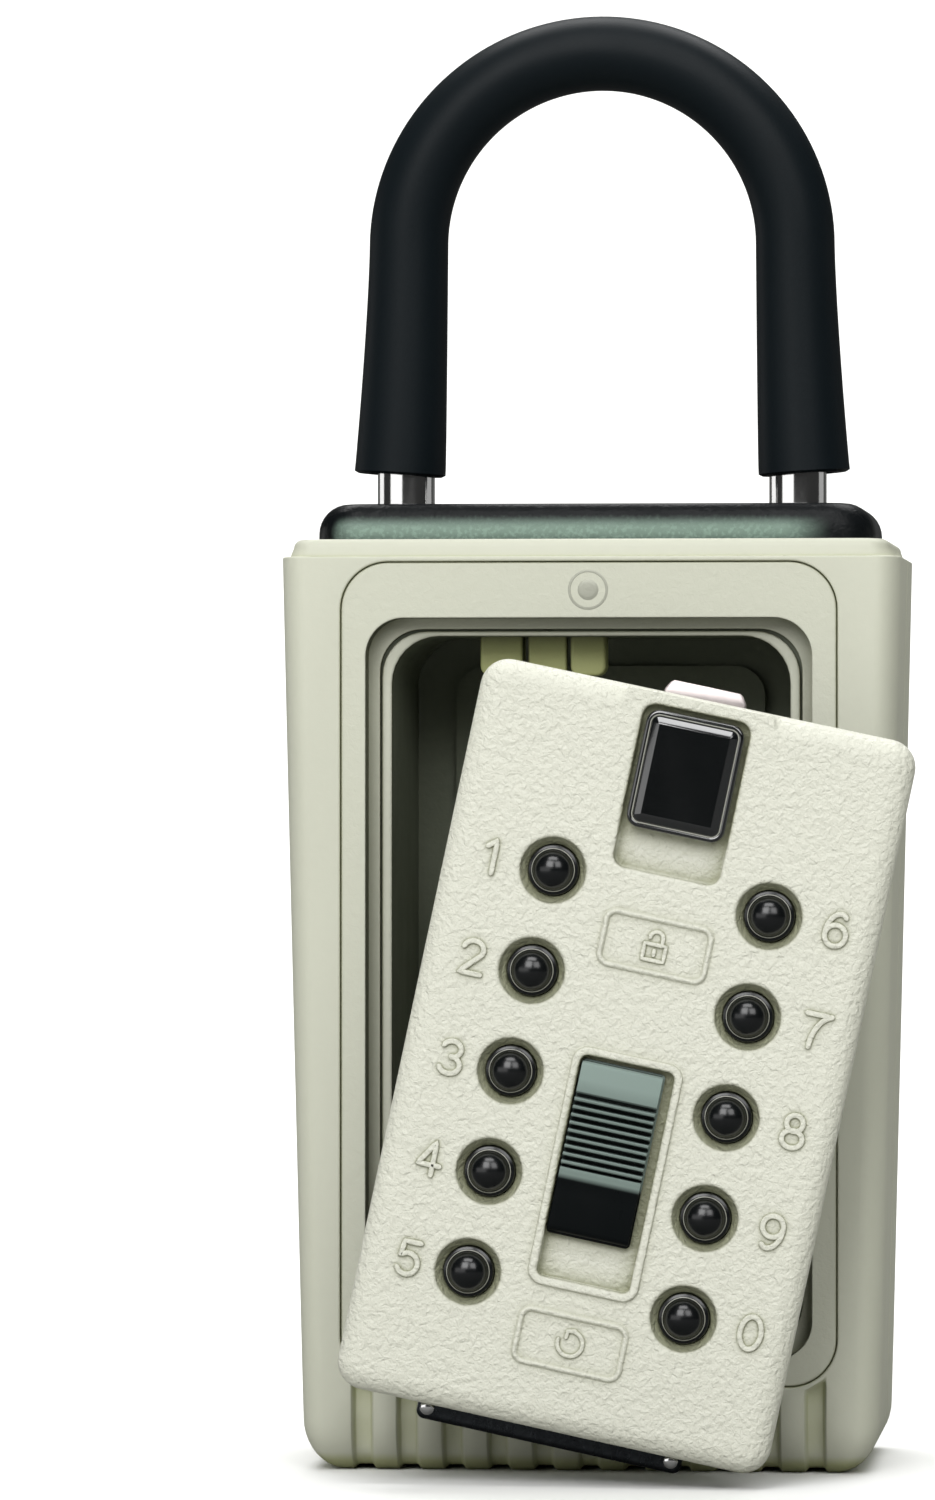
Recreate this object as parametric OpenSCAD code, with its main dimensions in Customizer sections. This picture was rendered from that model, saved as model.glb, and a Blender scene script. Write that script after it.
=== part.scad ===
// Portable key lock box: a shackled safe body, shown open, with its push-button cover taken off
// and standing in front of it. The front looks along -Y, +Z is up and the body stands on z = 0.

/* [Body] */
// Width of the jacket at its shoulder
jacket_top_w = 68; // [67:0.5:70]
// Width of the jacket at its foot
jacket_foot_w = 63.4; // [63:0.1:64]
// Depth of the jacket, front to back
jacket_depth = 38; // [38:0.5:40]
// Height of the jacket's shoulder
shoulder_z = 100.2; // [100:0.1:101]
// Radius of the jacket's outer edges
edge_r = 4.4; // [4:0.1:4.8]

/* [Opening] */
// Width of the door opening
opening_w = 48.9; // [48.7:0.1:49.2]
// Height of the door opening
opening_h = 80.9; // [80.7:0.1:81.2]
// Width of the key cavity
cavity_w = 43.8; // [43.4:0.1:43.9]
// Height of the key cavity
cavity_h = 77; // [76.8:0.1:77.2]

/* [Shackle] */
// Diameter of the shackle's bar
bar_d = 6.4; // [6:0.1:6.4]
// Distance of each leg from the middle
leg_x = 21.9; // [21.8:0.1:22]
// Height of the centre of the arch
arch_z = 135; // [130:1:145]

/* [Cover] */
// Width of the cover
cover_w = 47.4; // [47:0.1:47.6]
// Height of the cover
cover_h = 79.9; // [79.5:0.1:80.1]
// Clockwise turn of the cover as it stands, in degrees
cover_turn = 12; // [8:1:14]
// Distance of the cover's front ahead of the body's front
cover_gap = 20; // [16:1:26]

/* [Buttons] */
// Distance of each button column from the middle
column_x = 11.8; // [11.6:0.1:12]
// Distance between neighbouring buttons in a column
row_pitch = 10.97; // [10.9:0.01:11]
// Travel of a digit button
button_travel = 2; // [1:0.1:2]

/* [Hidden] */

$fn = 48;
slip = 0.1;          // running gap between parts that fit
over = 1;            // how far a cutter runs past a face

// Body
front_y = -jacket_depth / 2;
back_y = jacket_depth / 2;
parting_y = 2.1;
collar_z = 102.1;    // top of the narrow collar above the shoulder
collar_w = 66;
collar_depth = 36.4;
block_top_z = 106.2;
opening_mid_z = 53;
bezel_w = 54.3;
bezel_h = 89.9;
bezel_mid_z = 54.6;
bezel_r = 5.2;
bezel_y = front_y + 0.4;
vault_front_y = -14.2;
vault_back_y = 16.2;
vault_half_w = 29.6;
vault_foot_z = 1.8;
vault_top_z = 96.2;
cavity_back_y = 13.5;
cavity_top_z = opening_mid_z + cavity_h / 2;
ceiling_z = 94;      // floor of the pocket that holds the lock plate
ledge_y = -15.2;
grip_pitch = 4.96;
grip_gap = 2.28;
beige = "#d3d2c2";
black = "#1b1f20";
steel = "#c9cccd";

// Shackle
bar_r = bar_d / 2;
leg_foot_z = 93.05;
neck_r = 2.2;
neck_z = 94.15;
neck_h = 1.9;
sleeve_r = 4.2;
sleeve_foot_r = 5.1;
sleeve_foot_z = 109.7;

// Lock plate
plate_z = 94.3;
plate_t = 1.6;
plate_travel = 3.2;
lever_x = -5.35;
lever_w = 4.3;
lever_y = -8.2;
lever_foot_z = 87.2;

// Cover, in its own frame: x across, z up, y into the cover from its front face
cover_x = 5.5;
cover_y = front_y - cover_gap;
cover_z = 45.3;
shell_t = 3.2;
case_w = 42.4;
case_h = 75.6;
case_front = 2.3;
case_wall = 1.3;
case_floor = 3.5;    // inner face of the case's front wall
case_back = 8.6;
plate_back = 9.6;
first_row_z = 18.85;
cap_r = 2.72;
dome_r = 2.25;
stem_r = 1.1;
spring_end = 6.85;
stem_end = spring_end - button_travel;
collar_r = 3.2;
post_r = 1.95;
open_w = 10.7;
open_h = 12.3;
open_z = 31.85;
open_travel = 4.3;
open_floor = 1.5;
open_neck_h = 4.6;
open_neck_z = 33.5;
recess_top_z = 38.45;
recess_h = open_h + open_travel + 0.7;
slider_w = 9.1;
slider_h = 19;
slider_top_z = -0.35;
slider_travel = 4.2;
slider_neck_h = 6;
slider_neck_z = -9.2;
window_w = 9.6;
window_top_z = -0.15;
window_h = slider_h + slider_travel + 0.4;
window_floor = 1.1;
slide_y = 4.6;       // front face of the plates that slide inside the case
slide_t = 1.6;
hook_w = 29.1;
hook_foot_z = -41.9;

// ---- shared shapes ----

function digit(i) = (i + 1) % 10;
function button_x(i) = i < 5 ? -column_x : column_x;
function button_z(i) = first_row_z - row_pitch * (i % 5);

// A rounded rectangle about the origin
module round_rect(w, h, r) {
    square([w - 2 * r, h], center = true);
    square([w, h - 2 * r], center = true);
    for (x = [-1, 1], y = [-1, 1])
        translate([x * (w / 2 - r), y * (h / 2 - r)])
            circle(r);
}

// Carries an outline drawn as seen from the front through the depth from y0 to y1
module through(y0, y1) {
    translate([0, y1, 0])
        rotate([90, 0, 0])
            linear_extrude(y1 - y0)
                children();
}

// A box from one corner to the opposite one
module box(low, high) {
    translate(low)
        cube(high - low);
}

// A round bar along Y
module rod_y(x, z, r, y0, y1) {
    translate([x, y0, z])
        rotate([-90, 0, 0])
            cylinder(r = r, h = y1 - y0);
}

// A ball with true poles, for hulls
module edge_ball(r, steps = 8) {
    rotate_extrude($fn = 32)
        polygon([for (i = [0:steps]) let (a = -90 + 180 * i / steps) [r * cos(a), r * sin(a)]]);
}

// Sets the cover's own frame where the cover stands
module on_cover() {
    translate([cover_x, cover_y, cover_z])
        rotate([0, cover_turn, 0])
            children();
}

// ---- body ----

// The jacket's outer form: a tapered box with soft edges, and a narrower collar on its shoulder
module jacket_form() {
    hull() {
        for (x = [-1, 1], y = [-1, 1]) {
            translate([x * (jacket_foot_w / 2 - edge_r), y * (back_y - edge_r), edge_r])
                edge_ball(edge_r);
            translate([x * (jacket_top_w / 2 - edge_r), y * (back_y - edge_r), shoulder_z - 1])
                cylinder(r = edge_r, h = 1, $fn = 32);
        }
    }
    translate([0, 0, shoulder_z - over])
        linear_extrude(collar_z - shoulder_z + over)
            round_rect(collar_w, collar_depth, 3.6);
}

// The room that the jacket leaves for the vault and its top block
module jacket_room() {
    box([-vault_half_w - 0.2, vault_front_y - 0.2, vault_foot_z - 0.2],
        [vault_half_w + 0.2, vault_back_y + 0.2, vault_top_z + 0.2]);
    translate([0, 1.4, vault_top_z])
        linear_extrude(collar_z - vault_top_z + over)
            round_rect(62, 26.6, 4.2);
}

module bezel_outline(grow = 0) {
    translate([0, bezel_mid_z])
        round_rect(bezel_w + 2 * grow, bezel_h + 2 * grow, bezel_r + grow);
}

// One of the hollows between the grip ribs along the foot
module grip_hollow(x) {
    translate([x - grip_gap / 2, 0, 0])
        rotate([90, 0, 90])
            linear_extrude(grip_gap)
                polygon([[front_y - over, 12], [front_y + 1.2, 12], [front_y + 1.2, 4],
                         [front_y + 2.4, 1.5], [front_y + 3.7, 0.7], [front_y - over, 0.7]]);
}

module front_shell() {
    color(beige)
        difference() {
            jacket_form();
            jacket_room();
            box([-40, parting_y - slip, -over], [40, back_y + over, collar_z + over]);
            through(front_y - over, vault_front_y)
                bezel_outline(slip);
            for (i = [-5:5])
                grip_hollow(i * grip_pitch);
        }
}

module screw_places() {
    for (x = [-23, 23], z = [11, 88])
        translate([x, 0, z])
            children();
}

module rear_shell() {
    color(beige)
        difference() {
            jacket_form();
            jacket_room();
            box([-40, front_y - over, -over], [40, parting_y, collar_z + over]);
            screw_places() {
                rod_y(0, 0, 1.4, vault_back_y, back_y + over);
                rod_y(0, 0, 2.7, back_y - 1.5, back_y + over);
            }
        }
}

module jacket_screws() {
    color(steel)
        screw_places()
            difference() {
                union() {
                    rod_y(0, 0, 1.25, 14.6, back_y - 1.4);
                    rod_y(0, 0, 2.5, back_y - 1.5, back_y - 0.4);
                }
                rod_y(0, 0, 1.1, back_y - 1, back_y);
            }
}

// The black cast body: the key cavity, the pocket for the lock plate and the catches for the cover
module vault_body() {
    color(black)
        difference() {
            union() {
                difference() {
                    translate([0, (vault_front_y + vault_back_y) / 2, vault_foot_z])
                        linear_extrude(vault_top_z - vault_foot_z)
                            round_rect(2 * vault_half_w, vault_back_y - vault_front_y, 2.5);
                    through(vault_front_y - over, cavity_back_y)
                        translate([0, opening_mid_z])
                            round_rect(cavity_w, cavity_h, 5.2);
                }
                // raised pad on the back wall
                through(cavity_back_y - 1, cavity_back_y + 0.5)
                    translate([0, opening_mid_z])
                        round_rect(35, 71, 3.4);
            }
            // pocket for the hook bar, and notch for the latch bolt
            box([-15.2, vault_front_y - over, 10.6], [15.2, -11.6, 17]);
            box([-5, vault_front_y - over, 89], [5, -12, 94.9]);
            // pocket for the lock plate, with the lever's slot and the legs' sockets
            box([-27.4, -7.5, ceiling_z], [27.4, 8.5, vault_top_z + over]);
            box([lever_x - 2.45, -8.5, cavity_top_z - over], [lever_x + 2.45, -3.3, vault_top_z + over]);
            for (x = [-leg_x, leg_x])
                translate([x, 0, 93])
                    cylinder(r = bar_r + 0.15, h = 4);
            for (x = [-18, 0, 18])
                translate([x, 11, 0]) {
                    translate([0, 0, 90])
                        cylinder(r = 1.3, h = 8);
                    translate([0, 0, 90])
                        cylinder(r = 2.3, h = 2.9);
                }
            screw_places()
                rod_y(0, 0, 1.3, 14.3, vault_back_y + over);
        }
}

// Front frame round the opening, with the ledge that the cover's rim rests on
module bezel() {
    color(beige)
        difference() {
            through(bezel_y, vault_front_y)
                bezel_outline();
            through(bezel_y - over, ledge_y)
                translate([0, opening_mid_z])
                    round_rect(opening_w, opening_h, 4.2);
            through(bezel_y - over, vault_front_y + over)
                translate([0, opening_mid_z])
                    round_rect(46.4, 78.5, 4.7);
            rod_y(0, 96.5, 2.35, bezel_y - over, bezel_y + 0.5);
        }
}

// Thin frame inside the ledge that the cover closes against
module seal_frame() {
    color(beige)
        through(ledge_y - 0.1, vault_front_y)
            translate([0, opening_mid_z])
                difference() {
                    round_rect(46, 78.1, 5);
                    round_rect(cavity_w, cavity_h, 5.2);
                }
}

// Plain round badge
module badge() {
    color(steel)
        difference() {
            rod_y(0, 96.5, 2.3, bezel_y - 0.25, bezel_y + 0.5);
            difference() {
                rod_y(0, 96.5, 1.95, bezel_y - over, bezel_y - 0.1);
                rod_y(0, 96.5, 1.45, bezel_y - 2 * over, bezel_y);
            }
        }
}

// Black block on the vault that guides both legs and covers the lock plate
module top_block() {
    color(black)
        difference() {
            intersection() {
                translate([0, 1.4, vault_top_z])
                    linear_extrude(block_top_z - vault_top_z)
                        round_rect(61.6, 26.2, 4);
                through(-14, 18) {
                    translate([0, 100])
                        square([61.6, 6], center = true);
                    translate([0, 102.6])
                        square([54.6, 7.2], center = true);
                    for (x = [-1, 1])
                        translate([x * 27.3, 102.7])
                            circle(3.5);
                    translate([0, 98])
                        square([61.6, 9], center = true);
                }
                translate([-40, 0, 0])
                    rotate([90, 0, 90])
                        linear_extrude(80) {
                            translate([1.4, 100.2])
                                square([26.2, 8.6], center = true);
                            translate([1.4, 101])
                                square([23, 10.4], center = true);
                            for (y = [-1, 1])
                                translate([1.4 + y * 11.5, 104.6])
                                    circle(1.6);
                        }
            }
            for (x = [-leg_x, leg_x])
                translate([x, 0, vault_top_z - over])
                    cylinder(r = bar_r + 0.1, h = 20);
            for (x = [-18, 0, 18])
                translate([x, 11, vault_top_z - over])
                    cylinder(r = 1.3, h = 5.2);
        }
}

module block_screws() {
    color(steel)
        for (x = [-18, 0, 18])
            translate([x, 11, 91.7]) {
                cylinder(r = 1.25, h = 8.4);
                difference() {
                    cylinder(r = 2.2, h = 1.1);
                    translate([0, 0, -over])
                        cylinder(r = 1, h = over + 0.6);
                }
            }
}

// Two lugs that hang from the cavity's ceiling, one each side of the release lever
module lever_guides() {
    color(beige)
        through(-8.4, -4.6)
            for (x = [-10.45, -0.85])
                translate([x, (lever_foot_z + cavity_top_z) / 2]) {
                    round_rect(x < -5 ? 4.7 : 3.9, cavity_top_z - lever_foot_z, 1.2);
                    translate([0, 1])
                        square([x < -5 ? 4.7 : 3.9, cavity_top_z - lever_foot_z - 2], center = true);
                }
}

// ---- shackle lock ----

// Steel plate with two keyholes: pushed back, its narrow slots hold both legs by their necks
module lock_plate() {
    color(steel)
        translate([0, 0, plate_z])
            difference() {
                union() {
                    box([-27, -7.2, 0], [27, 5, plate_t]);
                    box([lever_x - 2.1, lever_y, 0], [lever_x + 2.1, -7, plate_t]);
                }
                for (x = [-leg_x, leg_x])
                    translate([x, 0, -over]) {
                        cylinder(r = bar_r + 0.15, h = 5);
                        translate([0, -plate_travel, 0])
                            cylinder(r = neck_r + 0.15, h = 5);
                        box([-neck_r - 0.15, -plate_travel, 0], [neck_r + 0.15, 0, 5]);
                    }
            }
}

// Finger tab of the lock plate, seen at the top of the cavity
module release_lever() {
    color(beige)
        box([lever_x - lever_w / 2, lever_y, lever_foot_z],
            [lever_x + lever_w / 2, lever_y + 1.4, plate_z]);
}

// ---- shackle ----

module leg_shape(r, z0, z1) {
    translate([0, 0, z0])
        cylinder(r = r, h = z1 - z0);
}

module half_ring(ring_r, tube_r) {
    translate([0, 0, arch_z])
        rotate([90, 0, 0])
            rotate_extrude(angle = 180)
                translate([ring_r, 0])
                    circle(tube_r);
}

module shackle() {
    color(steel) {
        for (x = [-leg_x, leg_x])
            translate([x, 0, 0]) {
                leg_shape(bar_r, neck_z + neck_h, arch_z);
                leg_shape(neck_r, neck_z - 0.5, neck_z + neck_h + 0.5);
                leg_shape(bar_r, leg_foot_z, neck_z);
            }
        half_ring(leg_x, bar_r);
    }
}

module shackle_sleeve() {
    color(black)
        difference() {
            union() {
                for (x = [-leg_x, leg_x])
                    translate([x, 0, sleeve_foot_z])
                        cylinder(r1 = sleeve_foot_r, r2 = sleeve_r, h = arch_z - sleeve_foot_z);
                half_ring(leg_x, sleeve_r);
            }
            for (x = [-leg_x, leg_x])
                translate([x, 0, 0])
                    leg_shape(bar_r + 0.05, sleeve_foot_z - over, arch_z);
            half_ring(leg_x, bar_r + 0.05);
        }
}

// ---- cover ----

// Moulded front of the cover, with countersunk button holes, the open button's recess and the
// clear slider's window
module cover_shell() {
    color(beige)
        on_cover()
            difference() {
                union() {
                    through(0.9, shell_t)
                        round_rect(cover_w, cover_h, 3);
                    through(0.35, 1)
                        round_rect(cover_w - 1, cover_h - 1, 2.8);
                    through(0, 1)
                        round_rect(cover_w - 2.6, cover_h - 2.6, 2.4);
                    through(-0.35, 0.5)
                        translate([0, window_top_z - window_h / 2])
                            round_rect(11.3, 25.3, 1);
                }
                through(2.2, shell_t + over)
                    round_rect(case_w + 0.2, case_h + 0.2, 2.3);
                for (i = [0:9])
                    translate([button_x(i), 0, button_z(i)]) {
                        rod_y(0, 0, cap_r + slip, -over, shell_t + over);
                        rotate([-90, 0, 0])
                            cylinder(r1 = 3.7, r2 = cap_r + slip, h = 1.1);
                    }
                through(-over, open_floor)
                    translate([0, recess_top_z - recess_h / 2])
                        round_rect(open_w + 1, recess_h, 1.4);
                neck_slots(-over, shell_t + over);
                through(-over, window_floor)
                    translate([0, window_top_z - window_h / 2])
                        round_rect(window_w, window_h, 0.8);
            }
}

// Slots that the necks of the open button and the clear slider travel in
module neck_slots(y0, y1) {
    through(y0, y1) {
        translate([0, open_neck_z - open_travel / 2])
            round_rect(5.4, open_neck_h + open_travel + 0.6, 0.5);
        translate([0, slider_neck_z - slider_travel / 2])
            round_rect(4.4, slider_neck_h + slider_travel + 0.6, 0.5);
    }
}

// Metal tray behind the cover's front that carries the mechanism
module mechanism_case() {
    color("#5b5f60")
        on_cover()
            difference() {
                through(case_front, case_back)
                    round_rect(case_w, case_h, 2.2);
                difference() {
                    through(case_floor, case_back + over)
                        round_rect(case_w - 2 * case_wall, case_h - 2 * case_wall, 1.2);
                    // spring seats and screw posts
                    box([-2, case_floor - over, 13], [2, case_back, 15]);
                    screw_posts()
                        rod_y(0, 0, 1.9, case_floor - over, case_back);
                }
                screw_posts()
                    rod_y(0, 0, 0.95, case_floor + 1, case_back + over);
                for (i = [0:9])
                    rod_y(button_x(i), button_z(i), cap_r + slip, 0, case_floor + 0.1);
                neck_slots(0, case_floor + 0.1);
                // way out for the latch bolt
                box([-4.7, slide_y - slip, 35], [4.7, slide_y + slide_t + slip, 39]);
            }
}

module screw_posts() {
    for (x = [-18.2, 18.2], z = [-34.2, 34.2])
        translate([x, 0, z])
            children();
}

module back_plate() {
    color(steel)
        on_cover()
            difference() {
                through(case_back, plate_back)
                    round_rect(case_w, case_h, 2.2);
                for (i = [0:9])
                    rod_y(button_x(i), button_z(i), post_r + slip, case_back - over, plate_back + over);
                screw_posts()
                    rod_y(0, 0, 1.05, case_back - over, plate_back + over);
            }
}

module plate_screws() {
    color(steel)
        on_cover()
            screw_posts()
                difference() {
                    union() {
                        rod_y(0, 0, 0.9, 5, plate_back);
                        rod_y(0, 0, 1.9, plate_back, plate_back + 0.7);
                    }
                    box([-1.5, plate_back + 0.35, -0.25], [1.5, plate_back + over, 0.25]);
                    box([-0.25, plate_back + 0.35, -1.5], [0.25, plate_back + over, 1.5]);
                }
}

// Bar under the cover's foot that hooks behind the bezel
module hook_bar() {
    color("#3c4042")
        on_cover()
            difference() {
                through(slide_y, slide_y + 2)
                    translate([0, (hook_foot_z - case_h / 2) / 2])
                        square([hook_w, -case_h / 2 - hook_foot_z], center = true);
                for (x = [-13.4, 13.4])
                    rod_y(x, -40.6, 0.55, 0, 10);
            }
}

module hook_pins() {
    color(steel)
        on_cover()
            for (x = [-13.4, 13.4])
                rod_y(x, -40.6, 0.5, slide_y - 0.4, slide_y + 2.2);
}

// ---- digit buttons and the posts that set the code ----

module digit_button(i) {
    color(black)
        on_cover()
            translate([button_x(i), 0, button_z(i)]) {
                rod_y(0, 0, cap_r, 0.6, case_floor);
                rod_y(0, 0, dome_r, -0.5, 0.7);
                // domed top
                intersection() {
                    rod_y(0, 0, dome_r, -1.5, 0);
                    translate([0, 1.3, 0])
                        sphere(2.8);
                }
                // collar that keeps the cap in, and the stem behind it
                rod_y(0, 0, collar_r, case_floor + 0.05, case_floor + 0.8);
                rod_y(0, 0, cap_r, case_floor - 0.1, case_floor + 0.2);
                rod_y(0, 0, stem_r, case_floor + 0.5, stem_end);
            }
}

module button_springs() {
    color(steel)
        on_cover()
            for (i = [0:9])
                difference() {
                    rod_y(button_x(i), button_z(i), 2, case_floor + 0.85, spring_end);
                    rod_y(button_x(i), button_z(i), 1.4, case_floor, 8);
                }
}

module code_post(i) {
    color("#b08d3e")
        on_cover()
            difference() {
                union() {
                    rod_y(button_x(i), button_z(i), post_r, spring_end + 0.05, plate_back);
                    rod_y(button_x(i), button_z(i), 3, 7, case_back - 0.1);
                }
                // screwdriver slot with an arrow head at its upper end
                translate([button_x(i), 0, button_z(i)])
                    through(plate_back - 0.4, plate_back + over) {
                        square([0.6, 2.8], center = true);
                        polygon([[-0.9, 0.4], [0.9, 0.4], [0, 1.6]]);
                    }
            }
}

// ---- open button ----

module open_button() {
    color(black)
        on_cover() {
            through(-0.2, open_floor - slip)
                translate([0, open_z])
                    round_rect(open_w, open_h, 1.5);
            through(-0.7, 0)
                translate([0, open_z])
                    round_rect(open_w - 0.9, open_h - 0.9, 1.2);
            through(0, slide_y)
                translate([0, open_neck_z])
                    square([5, open_neck_h], center = true);
        }
}

// Slide that the open button carries, with the bevelled bolt at its upper end
module latch_bolt() {
    color(steel)
        on_cover()
            difference() {
                through(slide_y, slide_y + slide_t)
                    union() {
                        translate([0, 30.7])
                            square([12.4, 10.4], center = true);
                        polygon([[-4.5, 33], [4.5, 33], [4.5, 40.2], [3.8, 41.35],
                                 [-3.8, 41.35], [-4.5, 40.2]]);
                    }
                // bevel on the bolt's back edge
                translate([-10, slide_y + slide_t, 40.4])
                    rotate([-40, 0, 0])
                        cube([20, 3, 3]);
            }
}

module spring_tube(z0, z1) {
    translate([0, slide_y + slide_t / 2, z0])
        difference() {
            cylinder(r = 1.5, h = z1 - z0);
            translate([0, 0, -over])
                cylinder(r = 1, h = z1 - z0 + 2 * over);
        }
}

module latch_spring() {
    color(steel)
        on_cover()
            spring_tube(15.05, 25.45);
}

// ---- clear slider ----

module clear_slider() {
    slider_foot_z = slider_top_z - slider_h;
    color("#3a4444")
        on_cover() {
            through(0, window_floor - slip)
                translate([0, slider_top_z - slider_h / 2])
                    round_rect(slider_w, slider_h, 0.5);
            // smooth head, cross ribs and smooth foot
            box([-slider_w / 2 + 0.2, -0.7, slider_top_z - 3.6],
                [slider_w / 2 - 0.2, 0.1, slider_top_z - 0.3]);
            for (i = [0:8])
                box([-slider_w / 2 + 0.2, -1.1, slider_top_z - 4.8 - i * 0.85],
                    [slider_w / 2 - 0.2, 0.1, slider_top_z - 4.35 - i * 0.85]);
            box([-slider_w / 2 + 0.2, -0.6, slider_foot_z + 0.3],
                [slider_w / 2 - 0.2, 0.1, slider_foot_z + 7]);
            through(0.5, slide_y)
                translate([0, slider_neck_z])
                    square([4, slider_neck_h], center = true);
        }
}

// Plate that lets every pressed button out again
module clear_comb() {
    color(steel)
        on_cover()
            through(slide_y, slide_y + slide_t)
                translate([0, -12])
                    square([14, 17], center = true);
}

module clear_spring() {
    color(steel)
        on_cover()
            spring_tube(-36.45, -20.55);
}

vault_body();
front_shell();
rear_shell();
bezel();
seal_frame();
badge();
top_block();
block_screws();
lever_guides();
jacket_screws();
lock_plate();
release_lever();
shackle();
shackle_sleeve();
cover_shell();
mechanism_case();
back_plate();
plate_screws();
hook_bar();
hook_pins();
button_springs();
open_button();
latch_bolt();
latch_spring();
clear_slider();
clear_comb();
clear_spring();
for (i = [0:9]) {
    digit_button(i);
    code_post(i);
}
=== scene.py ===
"""Key lock box: a shackled safe body, shown open, with its push-button cover standing in front of it.

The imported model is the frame. Lengths inside the shape functions are millimetres; a piece is turned
into metres when its mesh is made. The front looks along -Y and +Z is up.
"""

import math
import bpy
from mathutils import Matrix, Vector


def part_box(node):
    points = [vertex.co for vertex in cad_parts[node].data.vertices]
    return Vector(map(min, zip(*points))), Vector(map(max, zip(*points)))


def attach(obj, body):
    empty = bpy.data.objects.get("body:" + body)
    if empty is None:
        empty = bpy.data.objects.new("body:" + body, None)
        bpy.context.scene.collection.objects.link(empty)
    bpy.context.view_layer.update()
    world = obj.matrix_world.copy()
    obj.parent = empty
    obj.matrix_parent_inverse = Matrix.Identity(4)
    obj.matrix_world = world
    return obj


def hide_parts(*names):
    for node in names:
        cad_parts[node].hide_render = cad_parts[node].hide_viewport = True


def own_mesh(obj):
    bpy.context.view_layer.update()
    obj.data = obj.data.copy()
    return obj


bl_info = {
    "name": "Key Lock Box",
    "version": (1, 0, 0),
    "blender": (4, 5, 0),
    "location": "3D View > Sidebar > Key Box",
    "description": "Builds the skins and finishes of a portable key lock box round its packed model",
    "category": "Add Mesh",
}

import bmesh
import bpy
import numpy as np
from mathutils import Vector
from mathutils.geometry import delaunay_2d_cdt

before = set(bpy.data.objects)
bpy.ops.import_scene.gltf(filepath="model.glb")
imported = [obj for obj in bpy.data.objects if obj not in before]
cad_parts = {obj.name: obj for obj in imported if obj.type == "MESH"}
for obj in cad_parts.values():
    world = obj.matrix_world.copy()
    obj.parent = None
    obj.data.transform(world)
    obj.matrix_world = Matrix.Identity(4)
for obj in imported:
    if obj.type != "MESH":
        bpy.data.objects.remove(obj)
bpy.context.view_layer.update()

MM = 0.001
MERGE = 0.002          # points closer than this are one point
CREASE = math.radians(38)
MIRROR = np.array([-1, 1, 1])   # takes points to the other side of the middle


# ---- sizes and colours a user may change ----

def length(name, description, default):
    """A length in metres."""
    return bpy.props.FloatProperty(name=name, description=description, default=default, unit="LENGTH",
                                   precision=5)


def tint(name, description, default):
    """A colour, given as it looks on a screen, from 0 to 255, and kept in linear light."""
    c = np.array(default) / 255
    linear = np.where(c < 0.04045, c / 12.92, ((c + 0.055) / 1.055) ** 2.4)
    return bpy.props.FloatVectorProperty(name=name, description=description, size=4, subtype="COLOR",
                                         min=0, max=1, default=(*linear, 1))


def node_size(node, axis):
    """How far a node of the frame reaches along one axis, in metres."""
    low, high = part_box(node)
    return high[axis] - low[axis]


class KeyBoxSizes(bpy.types.PropertyGroup):
    """Sizes of the key box's visible pieces."""
    shoulder_width: length("Shoulder width", "Width of the jacket at its shoulder",
                           node_size("rear_shell", 0))
    foot_width: length("Foot width", "Width of the jacket at its foot", 0.0634)
    jacket_depth: length("Jacket depth", "Depth of the jacket, front to back", 0.038)
    edge_radius: length("Edge radius", "Radius of the jacket's outer edges", 0.0044)
    shoulder_height: length("Shoulder height", "Height of the jacket's shoulder", 0.1002)
    collar_height: length("Collar height", "Height of the top of the collar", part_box("rear_shell")[1][2])
    frame_width: length("Frame width", "Width of the front frame", node_size("bezel", 0))
    frame_height: length("Frame height", "Height of the front frame", node_size("bezel", 2))
    opening_width: length("Opening width", "Width of the door opening", 0.0489)
    opening_height: length("Opening height", "Height of the door opening", 0.0809)
    cavity_width: length("Cavity width", "Width of the key cavity", 0.0438)
    cavity_height: length("Cavity height", "Height of the key cavity", 0.077)
    grip_pitch: length("Grip pitch", "Distance between neighbouring grip ribs", 0.00496)
    grip_gap: length("Grip gap", "Width of a hollow between two grip ribs", 0.00228)
    bar_radius: length("Bar radius", "Radius of the shackle's bar", 0.0032)
    leg_distance: length("Leg distance", "Distance of each shackle leg from the middle", 0.0219)
    cover_width: length("Cover width", "Width of the cover", 0.0474)
    cover_height: length("Cover height", "Height of the cover", 0.0799)
    column_distance: length("Column distance", "Distance of each button column from the middle", 0.0118)
    row_pitch: length("Row pitch", "Distance between neighbouring buttons in a column", 0.01097)
    cap_radius: length("Cap radius", "Radius of a button's cap", 0.00272)
    cover_turn: bpy.props.FloatProperty(name="Cover turn", description="Clockwise turn of the standing cover",
                                        default=math.radians(12), subtype="ANGLE")


class KeyBoxColours(bpy.types.PropertyGroup):
    """Main colours of the finishes."""
    clay: tint("Clay", "Jacket and frames", (194, 195, 180))
    cover: tint("Cover", "Painted front of the cover", (208, 208, 196))
    sleeve: tint("Sleeve", "Soft sleeve on the shackle", (13, 20, 24))
    cast: tint("Cast metal", "Black cast block on top", (14, 17, 19))
    cavity: tint("Cavity", "Walls of the key cavity", (118, 123, 106))
    # Olive is painted shade: grooves, the frame's walls, the lugs and the cover's recesses take it.
    olive: tint("Crevices", "Shade held in the clay parts' grooves", (150, 153, 105))
    # A painted reflection of the clay collar in the block's glossy foot.
    painted_reflection: tint("Painted reflection", "Pale bloom along the block's foot", (128, 149, 138))
    gloss: tint("Gloss black", "Buttons and open button", (10, 13, 14))
    slider_light: tint("Slider head", "Upper end of the clear slider", (128, 143, 138))
    slider_dark: tint("Slider foot", "Lower end of the clear slider", (12, 15, 16))
    steel: tint("Steel", "Plates, screws and pins", (205, 207, 205))
    brass: tint("Brass", "Code posts", (196, 160, 90))


def sizes():
    """The sizes that a user may change."""
    return bpy.context.scene.key_box_sizes


def colours():
    """The colours that a user may change."""
    return bpy.context.scene.key_box_colours


def mm(name):
    """A size in millimetres."""
    return getattr(sizes(), name) / MM


# ---- surfaces ----

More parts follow.
